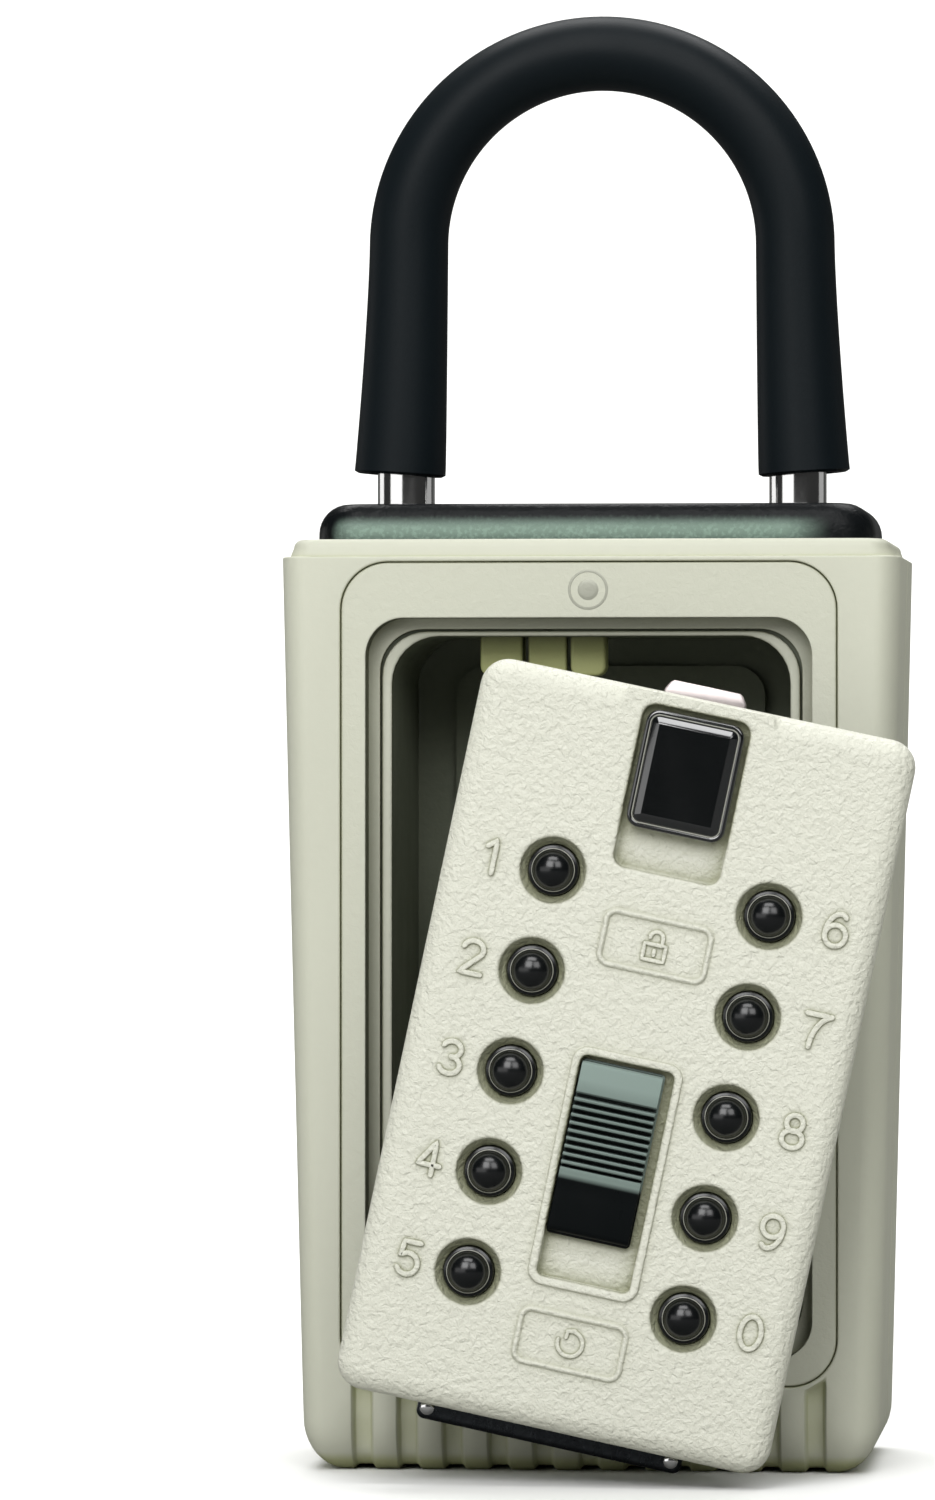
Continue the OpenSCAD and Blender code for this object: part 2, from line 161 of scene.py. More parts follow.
def outline(w, h, r, at=(0, 0), steps=8):
    """Points round a rounded rectangle: each corner's centre plus the radius times the cosine and sine
    of an angle that turns through a quarter of a circle at each corner."""
    turn = np.radians(np.arange(4)[:, None] * 90 + np.linspace(0, 90, steps + 1)).ravel()
    across = np.repeat([1, -1, -1, 1], steps + 1) * (w / 2 - r)
    up = np.repeat([1, 1, -1, -1], steps + 1) * (h / 2 - r)
    return np.column_stack([at[0] + across + r * np.cos(turn), at[1] + up + r * np.sin(turn)])


def ring(r, at=(0, 0), sides=40):
    """Points round a circle: the radius times the cosine and sine of evenly spaced angles."""
    turn = np.arange(sides) * 2 * math.pi / sides
    return np.column_stack([at[0] + r * np.cos(turn), at[1] + r * np.sin(turn)])


def facing(points, depth):
    """Lifts (across, up) points into space at a depth along Y."""
    return np.column_stack([points[:, 0], np.full(len(points), depth), points[:, 1]])


def front_view(points):
    """The (across, up) part of points in space."""
    return points[:, [0, 2]]


def level(points, height):
    """Lifts (across, depth) points into space at a height."""
    return np.column_stack([points, np.full(len(points), height)])


def roll(start, end, steps=6, across=True):
    """Quarter of an ellipse from one (inset, depth) pair to another. It leaves along the inset and
    arrives along the depth, or the other way round."""
    t = np.linspace(0, math.pi / 2, steps + 1)
    gentle, quick = 1 - np.cos(t), np.sin(t)
    i, d = (quick, gentle) if across else (gentle, quick)
    return [(start[0] + (end[0] - start[0]) * a, start[1] + (end[1] - start[1]) * b) for a, b in zip(i, d)]


def moulding(w, h, r, profile, at=(0, 0), steps=8):
    """A rounded rectangle carried along a profile: at each (inset, depth) pair every side moves in by
    the inset and the corner's radius shrinks with it."""
    return [facing(outline(w - 2 * i, h - 2 * i, max(r - i, 0.05), at, steps), d) for i, d in profile]


def round_wire(inset, depth, r=0.07):
    """A closed profile round a small circle: the radius times the cosine and sine of an angle."""
    turn = np.linspace(0, 2 * math.pi, 9)
    return [(inset + r * math.cos(a), depth + r * math.sin(a)) for a in turn]


def turned(profile, at=(0, 0), sides=40):
    """A circle carried along a profile of (radius, depth) pairs."""
    return [facing(ring(r, at, sides), d) for r, d in profile]


def odd_crossings(points, loops):
    """True where a ray from the point towards +X crosses the loops an odd number of times."""
    a = np.concatenate(loops)
    b = np.concatenate([np.roll(one, -1, axis=0) for one in loops])
    height = points[:, 1, None]
    spans = (a[:, 1] > height) != (b[:, 1] > height)
    rise = np.where(a[:, 1] == b[:, 1], 1, b[:, 1] - a[:, 1])
    meets = a[:, 0] + (height - a[:, 1]) / rise * (b[:, 0] - a[:, 0])
    return (spans & (points[:, 0, None] < meets)).sum(axis=1) % 2 == 1


class Skin:
    """Gathers the patches of one piece, in millimetres, and makes its mesh."""

    def __init__(self, place=None):
        self.points, self.faces, self.count, self.place = [], [], 0, place

    def put(self, points, faces):
        """Adds points and the faces that join them."""
        self.points.append(np.asarray(points, float).reshape(-1, 3))
        self.faces += [[i + self.count for i in f] for f in faces]
        self.count += len(self.points[-1])

    def grid(self, rows, closed=False):
        """Joins each row of points to the next with quads: point k and k + 1 of one row to k + 1 and k
        of the next. Closed rows also join their last point to their first."""
        rows = np.asarray(rows, float)
        n, k = rows.shape[:2]
        here = np.arange(k if closed else k - 1)
        there = (here + 1) % k
        low = np.arange(n - 1)[:, None] * k
        quads = np.stack([low + here, low + there, low + k + there, low + k + here], axis=-1)
        self.put(rows, quads.reshape(-1, 4).tolist())

    def stack(self, loops, first=False, last=False):
        """Closed loops joined in order, with a flat lid on the first or the last."""
        self.grid(loops, closed=True)
        for wanted, loop in ((first, loops[0]), (last, loops[-1])):
            if wanted:
                self.put(loop, [list(range(len(loop)))])

    def solid(self, loops):
        """Closed loops joined in order, with a flat lid at both ends."""
        self.stack(loops, first=True, last=True)

    def flat(self, loops, lift):
        """A flat sheet bounded by the first loop, with the others as holes in it: constrained
        Delaunay triangles of all the loops' points, kept where they lie inside. lift takes the flat
        points into space."""
        loops = [np.asarray(one, float) for one in loops]
        points = np.concatenate(loops)
        edges, start = [], 0
        for one in loops:
            edges += [(start + i, start + (i + 1) % len(one)) for i in range(len(one))]
            start += len(one)
        made = delaunay_2d_cdt([Vector(p) for p in points.tolist()], edges, [], 0, 1e-5)
        flat_points = np.array([tuple(v) for v in made[0]])
        triangles = np.array(made[2])
        keep = odd_crossings(flat_points[triangles].mean(axis=1), loops)
        self.put(lift(flat_points), triangles[keep].tolist())

    def tube(self, path, radii, side, sides=24):
        """A circle carried along a path: at each point the radius times the cosine along the side
        direction and the sine along the path's direction crossed with it. Both ends are closed."""
        path = np.asarray(path, float)
        along = np.gradient(path, axis=0)
        along /= np.linalg.norm(along, axis=1)[:, None]
        side = np.broadcast_to(side, path.shape).astype(float)
        side = side - (side * along).sum(axis=1)[:, None] * along
        side /= np.linalg.norm(side, axis=1)[:, None]
        third = np.cross(along, side)
        turn = np.arange(sides) * 2 * math.pi / sides
        radii = np.broadcast_to(radii, len(path))[:, None, None]
        circle = np.cos(turn)[:, None] * side[:, None] + np.sin(turn)[:, None] * third[:, None]
        self.solid(path[:, None] + radii * circle)

    def make(self, name, finish, body, slot, replaces=(), thickness=0, heart=None):
        """Makes the mesh in metres, merges its seams, turns its faces outwards and puts it in its place.
        A sheet is turned away from its heart and thickened inwards."""
        points = np.concatenate(self.points)
        if self.place is not None:
            points = self.place(points)
        mesh = bpy.data.meshes.new(name)
        mesh.from_pydata((points * MM).tolist(), [], self.faces)
        edit = bmesh.new()
        edit.from_mesh(mesh)
        bmesh.ops.remove_doubles(edit, verts=edit.verts, dist=MERGE * MM)
        bmesh.ops.dissolve_degenerate(edit, edges=edit.edges, dist=MERGE * MM * 0.1)
        bmesh.ops.recalc_face_normals(edit, faces=edit.faces)
        if heart is not None:
            heart = Vector(heart) * MM
            if sum((f.calc_center_median() - heart).dot(f.normal) * f.calc_area() for f in edit.faces) < 0:
                bmesh.ops.reverse_faces(edit, faces=edit.faces)
        edit.to_mesh(mesh)
        edit.free()
        mesh.shade_smooth()
        mesh.set_sharp_from_angle(angle=CREASE)
        mesh.materials.append(finish)
        piece = bpy.data.objects.new(name, mesh)
        bpy.context.scene.collection.objects.link(piece)
        if thickness:
            wall = piece.modifiers.new("Wall", "SOLIDIFY")
            wall.thickness, wall.offset = thickness * MM, -1
        if replaces:
            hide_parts(*replaces)
        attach(piece, body)
        return piece


COVER_AT = (5.5, -39.0, 45.3)   # middle of the cover's front face where it stands


def on_cover(points):
    """Takes points of the cover's own frame to where it stands: turned clockwise about Y, then moved."""
    c, s = math.cos(sizes().cover_turn), math.sin(sizes().cover_turn)
    x, y, z = np.asarray(points, float).T
    return np.column_stack([x * c + z * s, y, z * c - x * s]) + COVER_AT


# ---- finishes ----

def feed(tree, socket, value):
    """Links a socket's value to an input, or sets the input where the value is plain."""
    if isinstance(value, bpy.types.NodeSocket):
        tree.links.new(value, socket)
    else:
        socket.default_value = value


def grow(tree, kind, **inputs):
    """Adds a node and feeds its inputs by name. What isn't an input is set on the node itself."""
    node = tree.nodes.new(kind)
    for name, value in inputs.items():
        label = name.replace("_", " ")
        if label in node.inputs:
            feed(tree, node.inputs[label], value)
        else:
            setattr(node, name, value)
    return node


def blend(tree, factor, first, second):
    """One colour that turns into another as the factor goes from 0 to 1."""
    mix = grow(tree, "ShaderNodeMix", data_type="RGBA", Factor=factor)
    feed(tree, mix.inputs[6], first)
    feed(tree, mix.inputs[7], second)
    return mix.outputs[2]


def span(tree, value, start, end, low=0.0, high=1.0, **options):
    """A value taken from one range to another and held inside it."""
    return grow(tree, "ShaderNodeMapRange", Value=value, From_Min=start, From_Max=end, To_Min=low,
                To_Max=high, **options).outputs[0]


def object_place(tree):
    """Where a point lies in its object, in metres."""
    return tree.nodes.new("ShaderNodeTexCoord").outputs["Object"]


def group(name, inputs, outputs):
    """An empty node group with named inputs and outputs."""
    tree = bpy.data.node_groups.new(name, "ShaderNodeTree")
    for kind, label, default in inputs:
        socket = tree.interface.new_socket(label, in_out="INPUT", socket_type=kind)
        socket.default_value = default
    for kind, label in outputs:
        tree.interface.new_socket(label, in_out="OUTPUT", socket_type=kind)
    return tree, tree.nodes.new("NodeGroupInput"), tree.nodes.new("NodeGroupOutput")


VALUE, COLOUR, VECTOR = "NodeSocketFloat", "NodeSocketColor", "NodeSocketVector"


def math_node(tree, operation, *values, clamp=False):
    """The result of one sum or comparison of its values."""
    node = tree.nodes.new("ShaderNodeMath")
    node.operation, node.use_clamp = operation, clamp
    for socket, value in zip(node.inputs, values):
        feed(tree, socket, value)
    return node.outputs[0]


def make_grain_group():
    """Cast or moulded grain: soft pebbles from one noise and a finer tooth from another, as a bump."""
    tree, given, out = group("Surface Grain", [
        (VALUE, "Pebbles per Metre", 900.0), (VALUE, "Tooth per Metre", 4000.0),
        (VALUE, "Pebble Depth", 0.00004), (VALUE, "Tooth Share", 0.3)],
        [(VECTOR, "Normal"), (VALUE, "Height")])
    place = object_place(tree)
    pebbles = grow(tree, "ShaderNodeTexNoise", Vector=place, Scale=given.outputs["Pebbles per Metre"],
                   Detail=2.0, Roughness=0.5, Distortion=0.4)
    tooth = grow(tree, "ShaderNodeTexNoise", Vector=place, Scale=given.outputs["Tooth per Metre"],
                 Detail=2.0, Roughness=0.6)
    share = math_node(tree, "MULTIPLY", tooth.outputs["Fac"], given.outputs["Tooth Share"])
    height = math_node(tree, "ADD", pebbles.outputs["Fac"], share)
    raised = math_node(tree, "MULTIPLY", height, given.outputs["Pebble Depth"])
    bump = grow(tree, "ShaderNodeBump", Height=raised, Strength=1.0, Distance=1.0)
    tree.links.new(bump.outputs["Normal"], out.inputs["Normal"])
    tree.links.new(pebbles.outputs["Fac"], out.inputs["Height"])
    return tree


def make_tone_group():
    """Slow drift of a colour between two tones, with a faint finer mottle."""
    tree, given, out = group("Tone Drift", [
        (COLOUR, "Tone A", (0.5, 0.5, 0.5, 1)), (COLOUR, "Tone B", (0.4, 0.4, 0.4, 1)),
        (VALUE, "Drift per Metre", 40.0), (VALUE, "Mottle per Metre", 900.0)],
        [(COLOUR, "Colour")])
    place = object_place(tree)
    slow, fine = (grow(tree, "ShaderNodeTexNoise", Vector=place, Scale=given.outputs[name], Detail=detail)
                  for name, detail in (("Drift per Metre", 3.0), ("Mottle per Metre", 2.0)))
    both = math_node(tree, "MULTIPLY_ADD", fine.outputs["Fac"], 0.6, -0.3)
    fac = math_node(tree, "ADD", slow.outputs["Fac"], both, clamp=True)
    mixed = blend(tree, fac, given.outputs["Tone A"], given.outputs["Tone B"])
    tree.links.new(mixed, out.inputs["Colour"])
    return tree


def make_handling_group():
    """Roughness that handling has left uneven: smears from a stretched noise, between two values."""
    tree, given, out = group("Handling", [
        (VALUE, "Polished", 0.3), (VALUE, "Dull", 0.5), (VALUE, "Smears per Metre", 120.0)],
        [(VALUE, "Roughness")])
    place = object_place(tree)
    stretch = grow(tree, "ShaderNodeMapping", Vector=place, Scale=(1.0, 1.0, 0.45))
    smear = grow(tree, "ShaderNodeTexNoise", Vector=stretch.outputs[0],
                 Scale=given.outputs["Smears per Metre"], Detail=4.0, Roughness=0.6)
    rough = span(tree, smear.outputs["Fac"], 0.3, 0.7, given.outputs["Polished"], given.outputs["Dull"])
    tree.links.new(rough, out.inputs["Roughness"])
    return tree


def make_crevice_group():
    """Painted shade in grooves and corners: the colour turns to another where the surface is closed in
    by its neighbours within a reach."""
    tree, given, out = group("Crevice Shade", [
        (COLOUR, "Colour", (0.5, 0.5, 0.5, 1)), (COLOUR, "Crevice Colour", (0.2, 0.2, 0.1, 1)),
        (VALUE, "Reach", 0.003), (VALUE, "Amount", 0.8)],
        [(COLOUR, "Colour")])
    closed_in = grow(tree, "ShaderNodeAmbientOcclusion", Distance=given.outputs["Reach"])
    closed_in.samples = 6
    share = span(tree, closed_in.outputs["AO"], 0.45, 0.97, 1.0, 0.0)
    fac = math_node(tree, "MULTIPLY", share, given.outputs["Amount"], clamp=True)
    mixed = blend(tree, fac, given.outputs["Colour"], given.outputs["Crevice Colour"])
    tree.links.new(mixed, out.inputs["Colour"])
    return tree


GROUPS = {"Surface Grain": make_grain_group, "Tone Drift": make_tone_group, "Handling": make_handling_group,
          "Crevice Shade": make_crevice_group}


def use_group(tree, name, **inputs):
    """One of the shared groups, made at its first use, with its inputs fed by name."""
    node = tree.nodes.new("ShaderNodeGroup")
    node.node_tree = bpy.data.node_groups.get(name) or GROUPS[name]()
    for key, value in inputs.items():
        feed(tree, node.inputs[key.replace("_", " ")], value)
    return node


def shade(colour, factor):
    """A colour made lighter or darker by a factor."""
    return (*[min(1.0, c * factor) for c in colour[:3]], 1.0)


def finish(name, colour, drift=0.92, drifts=40.0, mottles=900.0, polished=0.35, dull=0.5, smears=120.0,
           pebbles=900.0, tooth=4000.0, depth=0.00002, tooth_share=0.3, crevice=None, reach=0.003, **sockets):
    """A Principled finish from the shared groups. Other arguments set the shader's own sockets."""
    made = bpy.data.materials.get(name)
    if made:
        return made
    made = bpy.data.materials.new(name)
    made.use_nodes = True
    tree = made.node_tree
    shader = tree.nodes["Principled BSDF"]
    tone = use_group(tree, "Tone Drift", Tone_A=tuple(colour), Tone_B=shade(colour, drift),
                     Drift_per_Metre=drifts, Mottle_per_Metre=mottles)
    seen = tone.outputs["Colour"]
    # The crevice colour is painted shade, mixed in where the surface is closed in.
    if crevice:
        seen = use_group(tree, "Crevice Shade", Colour=seen, Crevice_Colour=tuple(crevice),
                         Reach=reach).outputs["Colour"]
    tree.links.new(seen, shader.inputs["Base Color"])
    touch = use_group(tree, "Handling", Polished=polished, Dull=dull, Smears_per_Metre=smears)
    tree.links.new(touch.outputs["Roughness"], shader.inputs["Roughness"])
    grain = use_group(tree, "Surface Grain", Pebbles_per_Metre=pebbles, Tooth_per_Metre=tooth,
                      Pebble_Depth=depth, Tooth_Share=tooth_share)
    tree.links.new(grain.outputs["Normal"], shader.inputs["Normal"])
    for key, value in sockets.items():
        shader.inputs[key.replace("_", " ")].default_value = value
    return made


def base_colour(made):
    """The input of a finish's shader that takes its colour."""
    return made.node_tree.nodes["Principled BSDF"].inputs["Base Color"]


def clay_plastic():
    """The jacket's moulded clay plastic, with shade held in its grooves."""
    return finish("clay plastic", colours().clay, drift=0.95, polished=0.45, dull=0.58, pebbles=1500.0,
                  tooth=6000.0, depth=0.000018, crevice=shade(colours().olive, 1.25), reach=0.002,
                  Specular_IOR_Level=0.35)


def clay_frame():
    """The clay plastic with painted shade: its steps' walls, the faces that do not look forward, are painted
    a dark olive shade, and its grooves an olive shade.
    """
    made = bpy.data.materials.get("clay frame")
    if made:
        return made
    made = finish("clay frame", colours().clay, drift=0.96, polished=0.45, dull=0.58, pebbles=1300.0,
                  tooth=6000.0, depth=0.00006, crevice=shade(colours().olive, 0.45), reach=0.0022,
                  Specular_IOR_Level=0.35)
    tree = made.node_tree
    # Painted shade: faces that do not look forward are turned to a dark olive.
    normal = tree.nodes.new("ShaderNodeTexCoord").outputs["Normal"]
    axes = grow(tree, "ShaderNodeSeparateXYZ", Vector=normal)
    forward = span(tree, axes.outputs["Y"], -0.2, -0.6)
    base = base_colour(made)
    tree.links.new(blend(tree, forward, shade(colours().olive, 0.22), base.links[0].from_socket), base)
    return made


def shaded_clay_lug():
    """The clay plastic of the lugs and the lever, painted a warmer olive shade for the shadow they stand in
    at the top of the cavity, with darker painted shade in its grooves.
    """
    return finish("shaded clay lug", shade(colours().olive, 1.6), drift=0.92, polished=0.45, dull=0.58,
                  pebbles=1300.0, tooth=6000.0, depth=0.00003, crevice=shade(colours().olive, 0.15),
                  reach=0.002, Specular_IOR_Level=0.3)


def cover_paint():
    """The cover's thick pebbled paint, with painted olive shade in its recesses and round its raised numerals
    and marks.
    """
    return finish("cover paint", colours().cover, drift=0.96, polished=0.4, dull=0.52, pebbles=1500.0,
                  tooth=4500.0, depth=0.00031, tooth_share=0.2, crevice=shade(colours().olive, 0.6),
                  reach=0.0024, Specular_IOR_Level=0.4)


def cavity_black():
    """The vault's walls inside the cavity."""
    return finish("cavity black", colours().cavity, drift=0.75, polished=0.5, dull=0.7, pebbles=900.0,
                  tooth=3000.0, depth=0.00005, Specular_IOR_Level=0.3)


def block_black():
    """The block's cast black, with a painted reflection of the clay collar: a pale band along the foot of its
    front where it meets the collar.
    """
    made = finish("block black", colours().cast, drift=0.7, polished=0.3, dull=0.45, pebbles=1000.0,
                  tooth=3000.0, depth=0.0001, Specular_IOR_Level=0.12)
    tree = made.node_tree
    place = object_place(tree)
    axes = grow(tree, "ShaderNodeSeparateXYZ", Vector=place)
    noise = grow(tree, "ShaderNodeTexNoise", Vector=place, Scale=2200.0, Detail=3.0)
    wobble = math_node(tree, "MULTIPLY_ADD", noise.outputs["Fac"], 0.0006, -0.0003)
    collar = sizes().collar_height
    height = math_node(tree, "ADD", axes.outputs["Z"], wobble)
    left = math_node(tree, "ADD", axes.outputs["X"], wobble)
    # Mask of the painted reflection: a band just above the collar, fading out towards both sides and behind
    # the front, broken by noise specks.
    limits = ((height, collar + 0.0029, collar + 0.0013), (height, collar - 0.0012, collar + 0.0011),
              (left, -0.0305, -0.026), (left, 0.0265, 0.0205), (axes.outputs["Y"], -0.0108, -0.0114),
              (noise.outputs["Fac"], 0.2, 0.62))
    *masks, speck = [span(tree, *limit, interpolation_type="SMOOTHSTEP") for limit in limits]
    mask = math_node(tree, "MAXIMUM", speck, 0.82)
    for other in masks:
        mask = math_node(tree, "MULTIPLY", mask, other)
    base = base_colour(made)
    tree.links.new(blend(tree, mask, base.links[0].from_socket, tuple(colours().painted_reflection)), base)
    return made


def sleeve_vinyl():
    """The shackle's soft black sleeve."""
    return finish("sleeve vinyl", colours().sleeve, drift=0.85, polished=0.42, dull=0.52, smears=60.0,
                  pebbles=2500.0, tooth=9000.0, depth=0.00001, Specular_IOR_Level=0.12)


def gloss_black():
    """The digit buttons' shiny black plastic."""
    return finish("gloss black", colours().gloss, drift=0.8, polished=0.19, dull=0.25, smears=300.0,
                  pebbles=700.0, tooth=6000.0, depth=0.000003, Specular_IOR_Level=0.55)


def gloss_cap():
    """The open button's lacquered black, shinier than the digits'."""
    return finish("gloss cap", colours().gloss, drift=0.8, polished=0.08, dull=0.14, smears=300.0,
                  pebbles=700.0, tooth=6000.0, depth=0.000003, Specular_IOR_Level=1.0,
                  Coat_Weight=1.0, Coat_Roughness=0.05)


def painted_highlight_grey():
    """The light grey of the thin wires round the buttons: painted highlight rings."""
    return finish("painted highlight grey", shade(colours().cover, 0.5), drift=0.9, polished=0.2, dull=0.3, smears=500.0,
                  pebbles=2500.0, tooth=8000.0, depth=0.000002, Specular_IOR_Level=0.5)


def polished_chrome():
    """The shackle's bar and the hook pins."""
    return finish("polished chrome", (0.85, 0.85, 0.84, 1), drift=0.95, polished=0.08, dull=0.16,
                  smears=400.0, pebbles=500.0, tooth=7000.0, depth=0.000003, Metallic=1.0)


def satin_chrome():
    """The bolt's duller plating."""
    return finish("satin chrome", (0.6, 0.54, 0.53, 1), drift=0.97, polished=0.4, dull=0.5, smears=400.0,
                  pebbles=900.0, tooth=7000.0, depth=0.00001, Metallic=1.0)


def brushed_steel():
    """Plates, screws and springs."""
    return finish("brushed steel", colours().steel, drift=0.85, polished=0.25, dull=0.42, smears=300.0,
                  pebbles=1500.0, tooth=7000.0, depth=0.00001, Metallic=1.0)


def case_zinc():
    """The cast case of the cover's mechanism."""
    return finish("case zinc", shade(colours().steel, 0.5), drift=0.8, polished=0.35, dull=0.55,
                  smears=150.0, pebbles=800.0, tooth=3000.0, depth=0.00004, Metallic=1.0)


def dark_steel():
    """The hook bar's dark plate."""
    return finish("dark steel", (0.05, 0.055, 0.06, 1), drift=0.5, polished=0.15, dull=0.4, smears=700.0,
                  pebbles=1400.0, tooth=5000.0, depth=0.00005, Metallic=1.0)


def pewter():
    """The badge's dull metal, with painted dark shade in its grooves."""
    return finish("pewter", shade(colours().clay, 0.72), drift=0.85, polished=0.4, dull=0.5, smears=500.0,
                  pebbles=1500.0, tooth=5000.0, depth=0.00003, crevice=(0.06, 0.065, 0.05, 1), reach=0.0009,
                  Metallic=0.2)


def post_brass():
    """The code posts' brass."""
    return finish("post brass", colours().brass, drift=0.8, polished=0.2, dull=0.35, smears=400.0,
                  pebbles=1500.0, tooth=8000.0, depth=0.000008, Metallic=1.0)


# ---- jacket ----

GRIP_TOP = 13.0        # height of the jacket's row above the grip hollows
FOOT_ROWS = 11         # rows of the rolled foot
FOOT_IN, FOOT_UP = 4.9, 5.6   # how far the rolled foot reaches in and up, seen from the front
LIP = 0.22             # roll on the shoulder's edge
CORNER_IN = 2.75       # how far the upright corners reach in across the front
FLAT_ROWS = 5          # rows of the flat face above the rolled foot
WINDOW_STEPS = 14      # steps round each of the front window's corners


def jacket_rows(face, mouth):
    """Sections of a jacket half from its foot to its mouth, each as (half width, face depth, corner
    radius, height). The foot rolls in by a quarter circle, the sides lean out up to the shoulder, a
    small roll turns on to the shoulder, and the collar stands on it."""
    r = mm("edge_radius")
    foot, top = mm("foot_width") / 2, mm("shoulder_width") / 2
    shoulder, collar = mm("shoulder_height"), mm("collar_height")

    def half(z):
        return foot + (top - foot) * np.clip((z - r) / (shoulder - 1 - r), 0, 1)

    rows = []
    for t in np.linspace(0, math.pi / 2, FOOT_ROWS):
        inset = r * (1 - math.sin(t))
        rows.append((foot - FOOT_IN * (1 - math.sin(t)), face - inset, r - inset,
                     FOOT_UP * (1 - math.cos(t))))
    for z in (GRIP_TOP, 30.0, 55.0, 80.0, shoulder - LIP):
        rows.append((half(z), face, r, z))
    for inset, z in roll((0.0, shoulder - LIP), (LIP, shoulder), 4, across=False)[1:]:
        rows.append((top - inset, face - inset, r - inset, z))
    base_w, base_d, base_r = 33.1, face - 0.35, 3.8
    for grown, z in ((0.1, shoulder), (0.0, shoulder + 0.1), (-0.35, collar - 0.9)):
        rows.append((base_w + grown, base_d + grown * 0.3, base_r, z))
    for inset, z in roll((0.35, collar - 0.9), (1.3, collar), 5, across=False)[1:]:
        rows.append((base_w - inset, base_d - inset * 0.6, base_r - inset * 0.3, z))
    rows += [(31.3, mouth + 0.3, 4.3, collar), (31.0, mouth, 4.2, collar - 0.3),
             (31.0, mouth, 4.2, collar - 4)]
    return rows


def side_columns(half_w, face, r, z, parting):
    """Points of one section from the parting line round to the face's flat: straight along the side,
    then round the corner."""
    lip = 0.25
    turn = np.linspace(0, math.pi / 2, 9)
    reach = CORNER_IN * r / mm("edge_radius")
    x = np.concatenate([[half_w - lip, half_w, half_w, half_w], half_w - reach + reach * np.cos(turn[1:])])
    start = face - r
    d = np.concatenate([[parting, parting + lip, parting + (start - parting) * 0.6, start],
                        start + r * np.sin(turn[1:])])
    return np.column_stack([x, d, np.full(len(x), z)])


def jacket_half(front):
    """Skin of one half of the jacket. Depths run outwards, so the rear half is the front's mirror."""
    way = -1 if front else 1
    parting = -2.0 if front else 2.1
    face = mm("jacket_depth") / 2
    mouth = 11.9 if front else 14.7
    rows = jacket_rows(face, mouth)
    right = np.array([side_columns(*row, parting) for row in rows])
    left = right * MIRROR
    skin = Skin(lambda p: np.asarray(p) * [1, way, 1])
    skin.grid(right)
    skin.grid(left)
    last_flat = FOOT_ROWS + FLAT_ROWS - 1
    skin.grid(np.stack([left[last_flat:, -1], right[last_flat:, -1]], axis=1))
    edge = right[:, -1]
    if front:
        grip_front(skin, right, parting)
        top_row = grip_top_row(edge[FOOT_ROWS])
        low = FOOT_ROWS
    else:
        low = FOOT_ROWS - 1
        skin.grid(np.stack([left[:low + 1, -1], right[:low + 1, -1]], axis=1))
        skin.grid([left[0, :4], right[0, :4]])
        top_row = np.array([edge[low] * MIRROR, edge[low]])
    side = edge[low + 1:last_flat + 1]
    rim = front_view(np.concatenate([top_row, side, (side * MIRROR)[::-1]]))
    holes = []
    if front:
        w, h, r, at = mm("frame_width") + 0.16, mm("frame_height") + 0.16, 5.28, frame_middle()
        slope = [(-0.27, face), (-0.22, face)] + roll((-0.2, face), (0.0, face - 0.25), 4)[1:]
        loops = moulding(w, h, r, slope + [(0.0, face - 1.0), (0.0, face - 3.5)], at, WINDOW_STEPS)
        holes.append(front_view(loops[0]))
        skin.stack(loops)
    else:
        for x in (-23, 23):
            for z in (11, 88):
                loops = turned([(3.25, face), (3.1, face)] + roll((3.1, face), (2.7, face - 0.4), 4)[1:]
                               + [(2.7, face - 1.4), (1.4, face - 1.5)], (x, z), 32)
                holes.append(front_view(loops[0]))
                skin.stack(loops)
    skin.flat([rim] + holes, lambda p: facing(p, face))
    return skin


def frame_middle():
    """Middle of the front frame, in front view."""
    low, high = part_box("bezel")
    return ((low[0] + high[0]) / 2 / MM, (low[2] + high[2]) / 2 / MM)


def grip_columns(edge_x):
    """Places across the face: close together where a hollow's wall falls away, wide apart between."""
    half = mm("grip_gap") / 2
    near = np.concatenate([-half + np.linspace(-0.18, 0.42, 9), half + np.linspace(-0.42, 0.18, 9)])
    middle = (np.arange(-5, 6) * mm("grip_pitch"))[:, None] + near
    return np.concatenate([[-edge_x], middle.ravel(), [edge_x]])


def grip_depth(x):
    """0 on a rib and 1 in a hollow, with a smooth step between: 3 t squared minus 2 t cubed."""
    pitch, half = mm("grip_pitch"), mm("grip_gap") / 2
    away = np.abs(x - np.round(x / pitch) * pitch)
    t = np.clip((half + 0.18 - away) / 0.6, 0, 1)
    return np.where(np.abs(x) < 5.5 * pitch, t * t * (3 - 2 * t), 0)


def ceiling(x):
    """Height under the frame's lower edge, following its rounded corners, less a small gap."""
    mid_x, mid_z = frame_middle()
    w, h, r = mm("frame_width") / 2 + 0.35, mm("frame_height") / 2 + 0.35, 5.55
    over = np.clip(np.abs(x - mid_x) - (w - r), 0, r)
    under = mid_z - h + r - np.sqrt(np.maximum(r * r - over * over, 0))
    return np.minimum(np.where(np.abs(x - mid_x) > w, GRIP_TOP, under - 0.25), GRIP_TOP)


def grip_top_row(edge_point):
    """The row along the top of the grip hollows, ending on the face's own row at both sides."""
    x = grip_columns(edge_point[0])
    z = ceiling(x)
    z[[0, -1]] = edge_point[2]
    return np.column_stack([x, np.full(len(x), edge_point[1]), z])


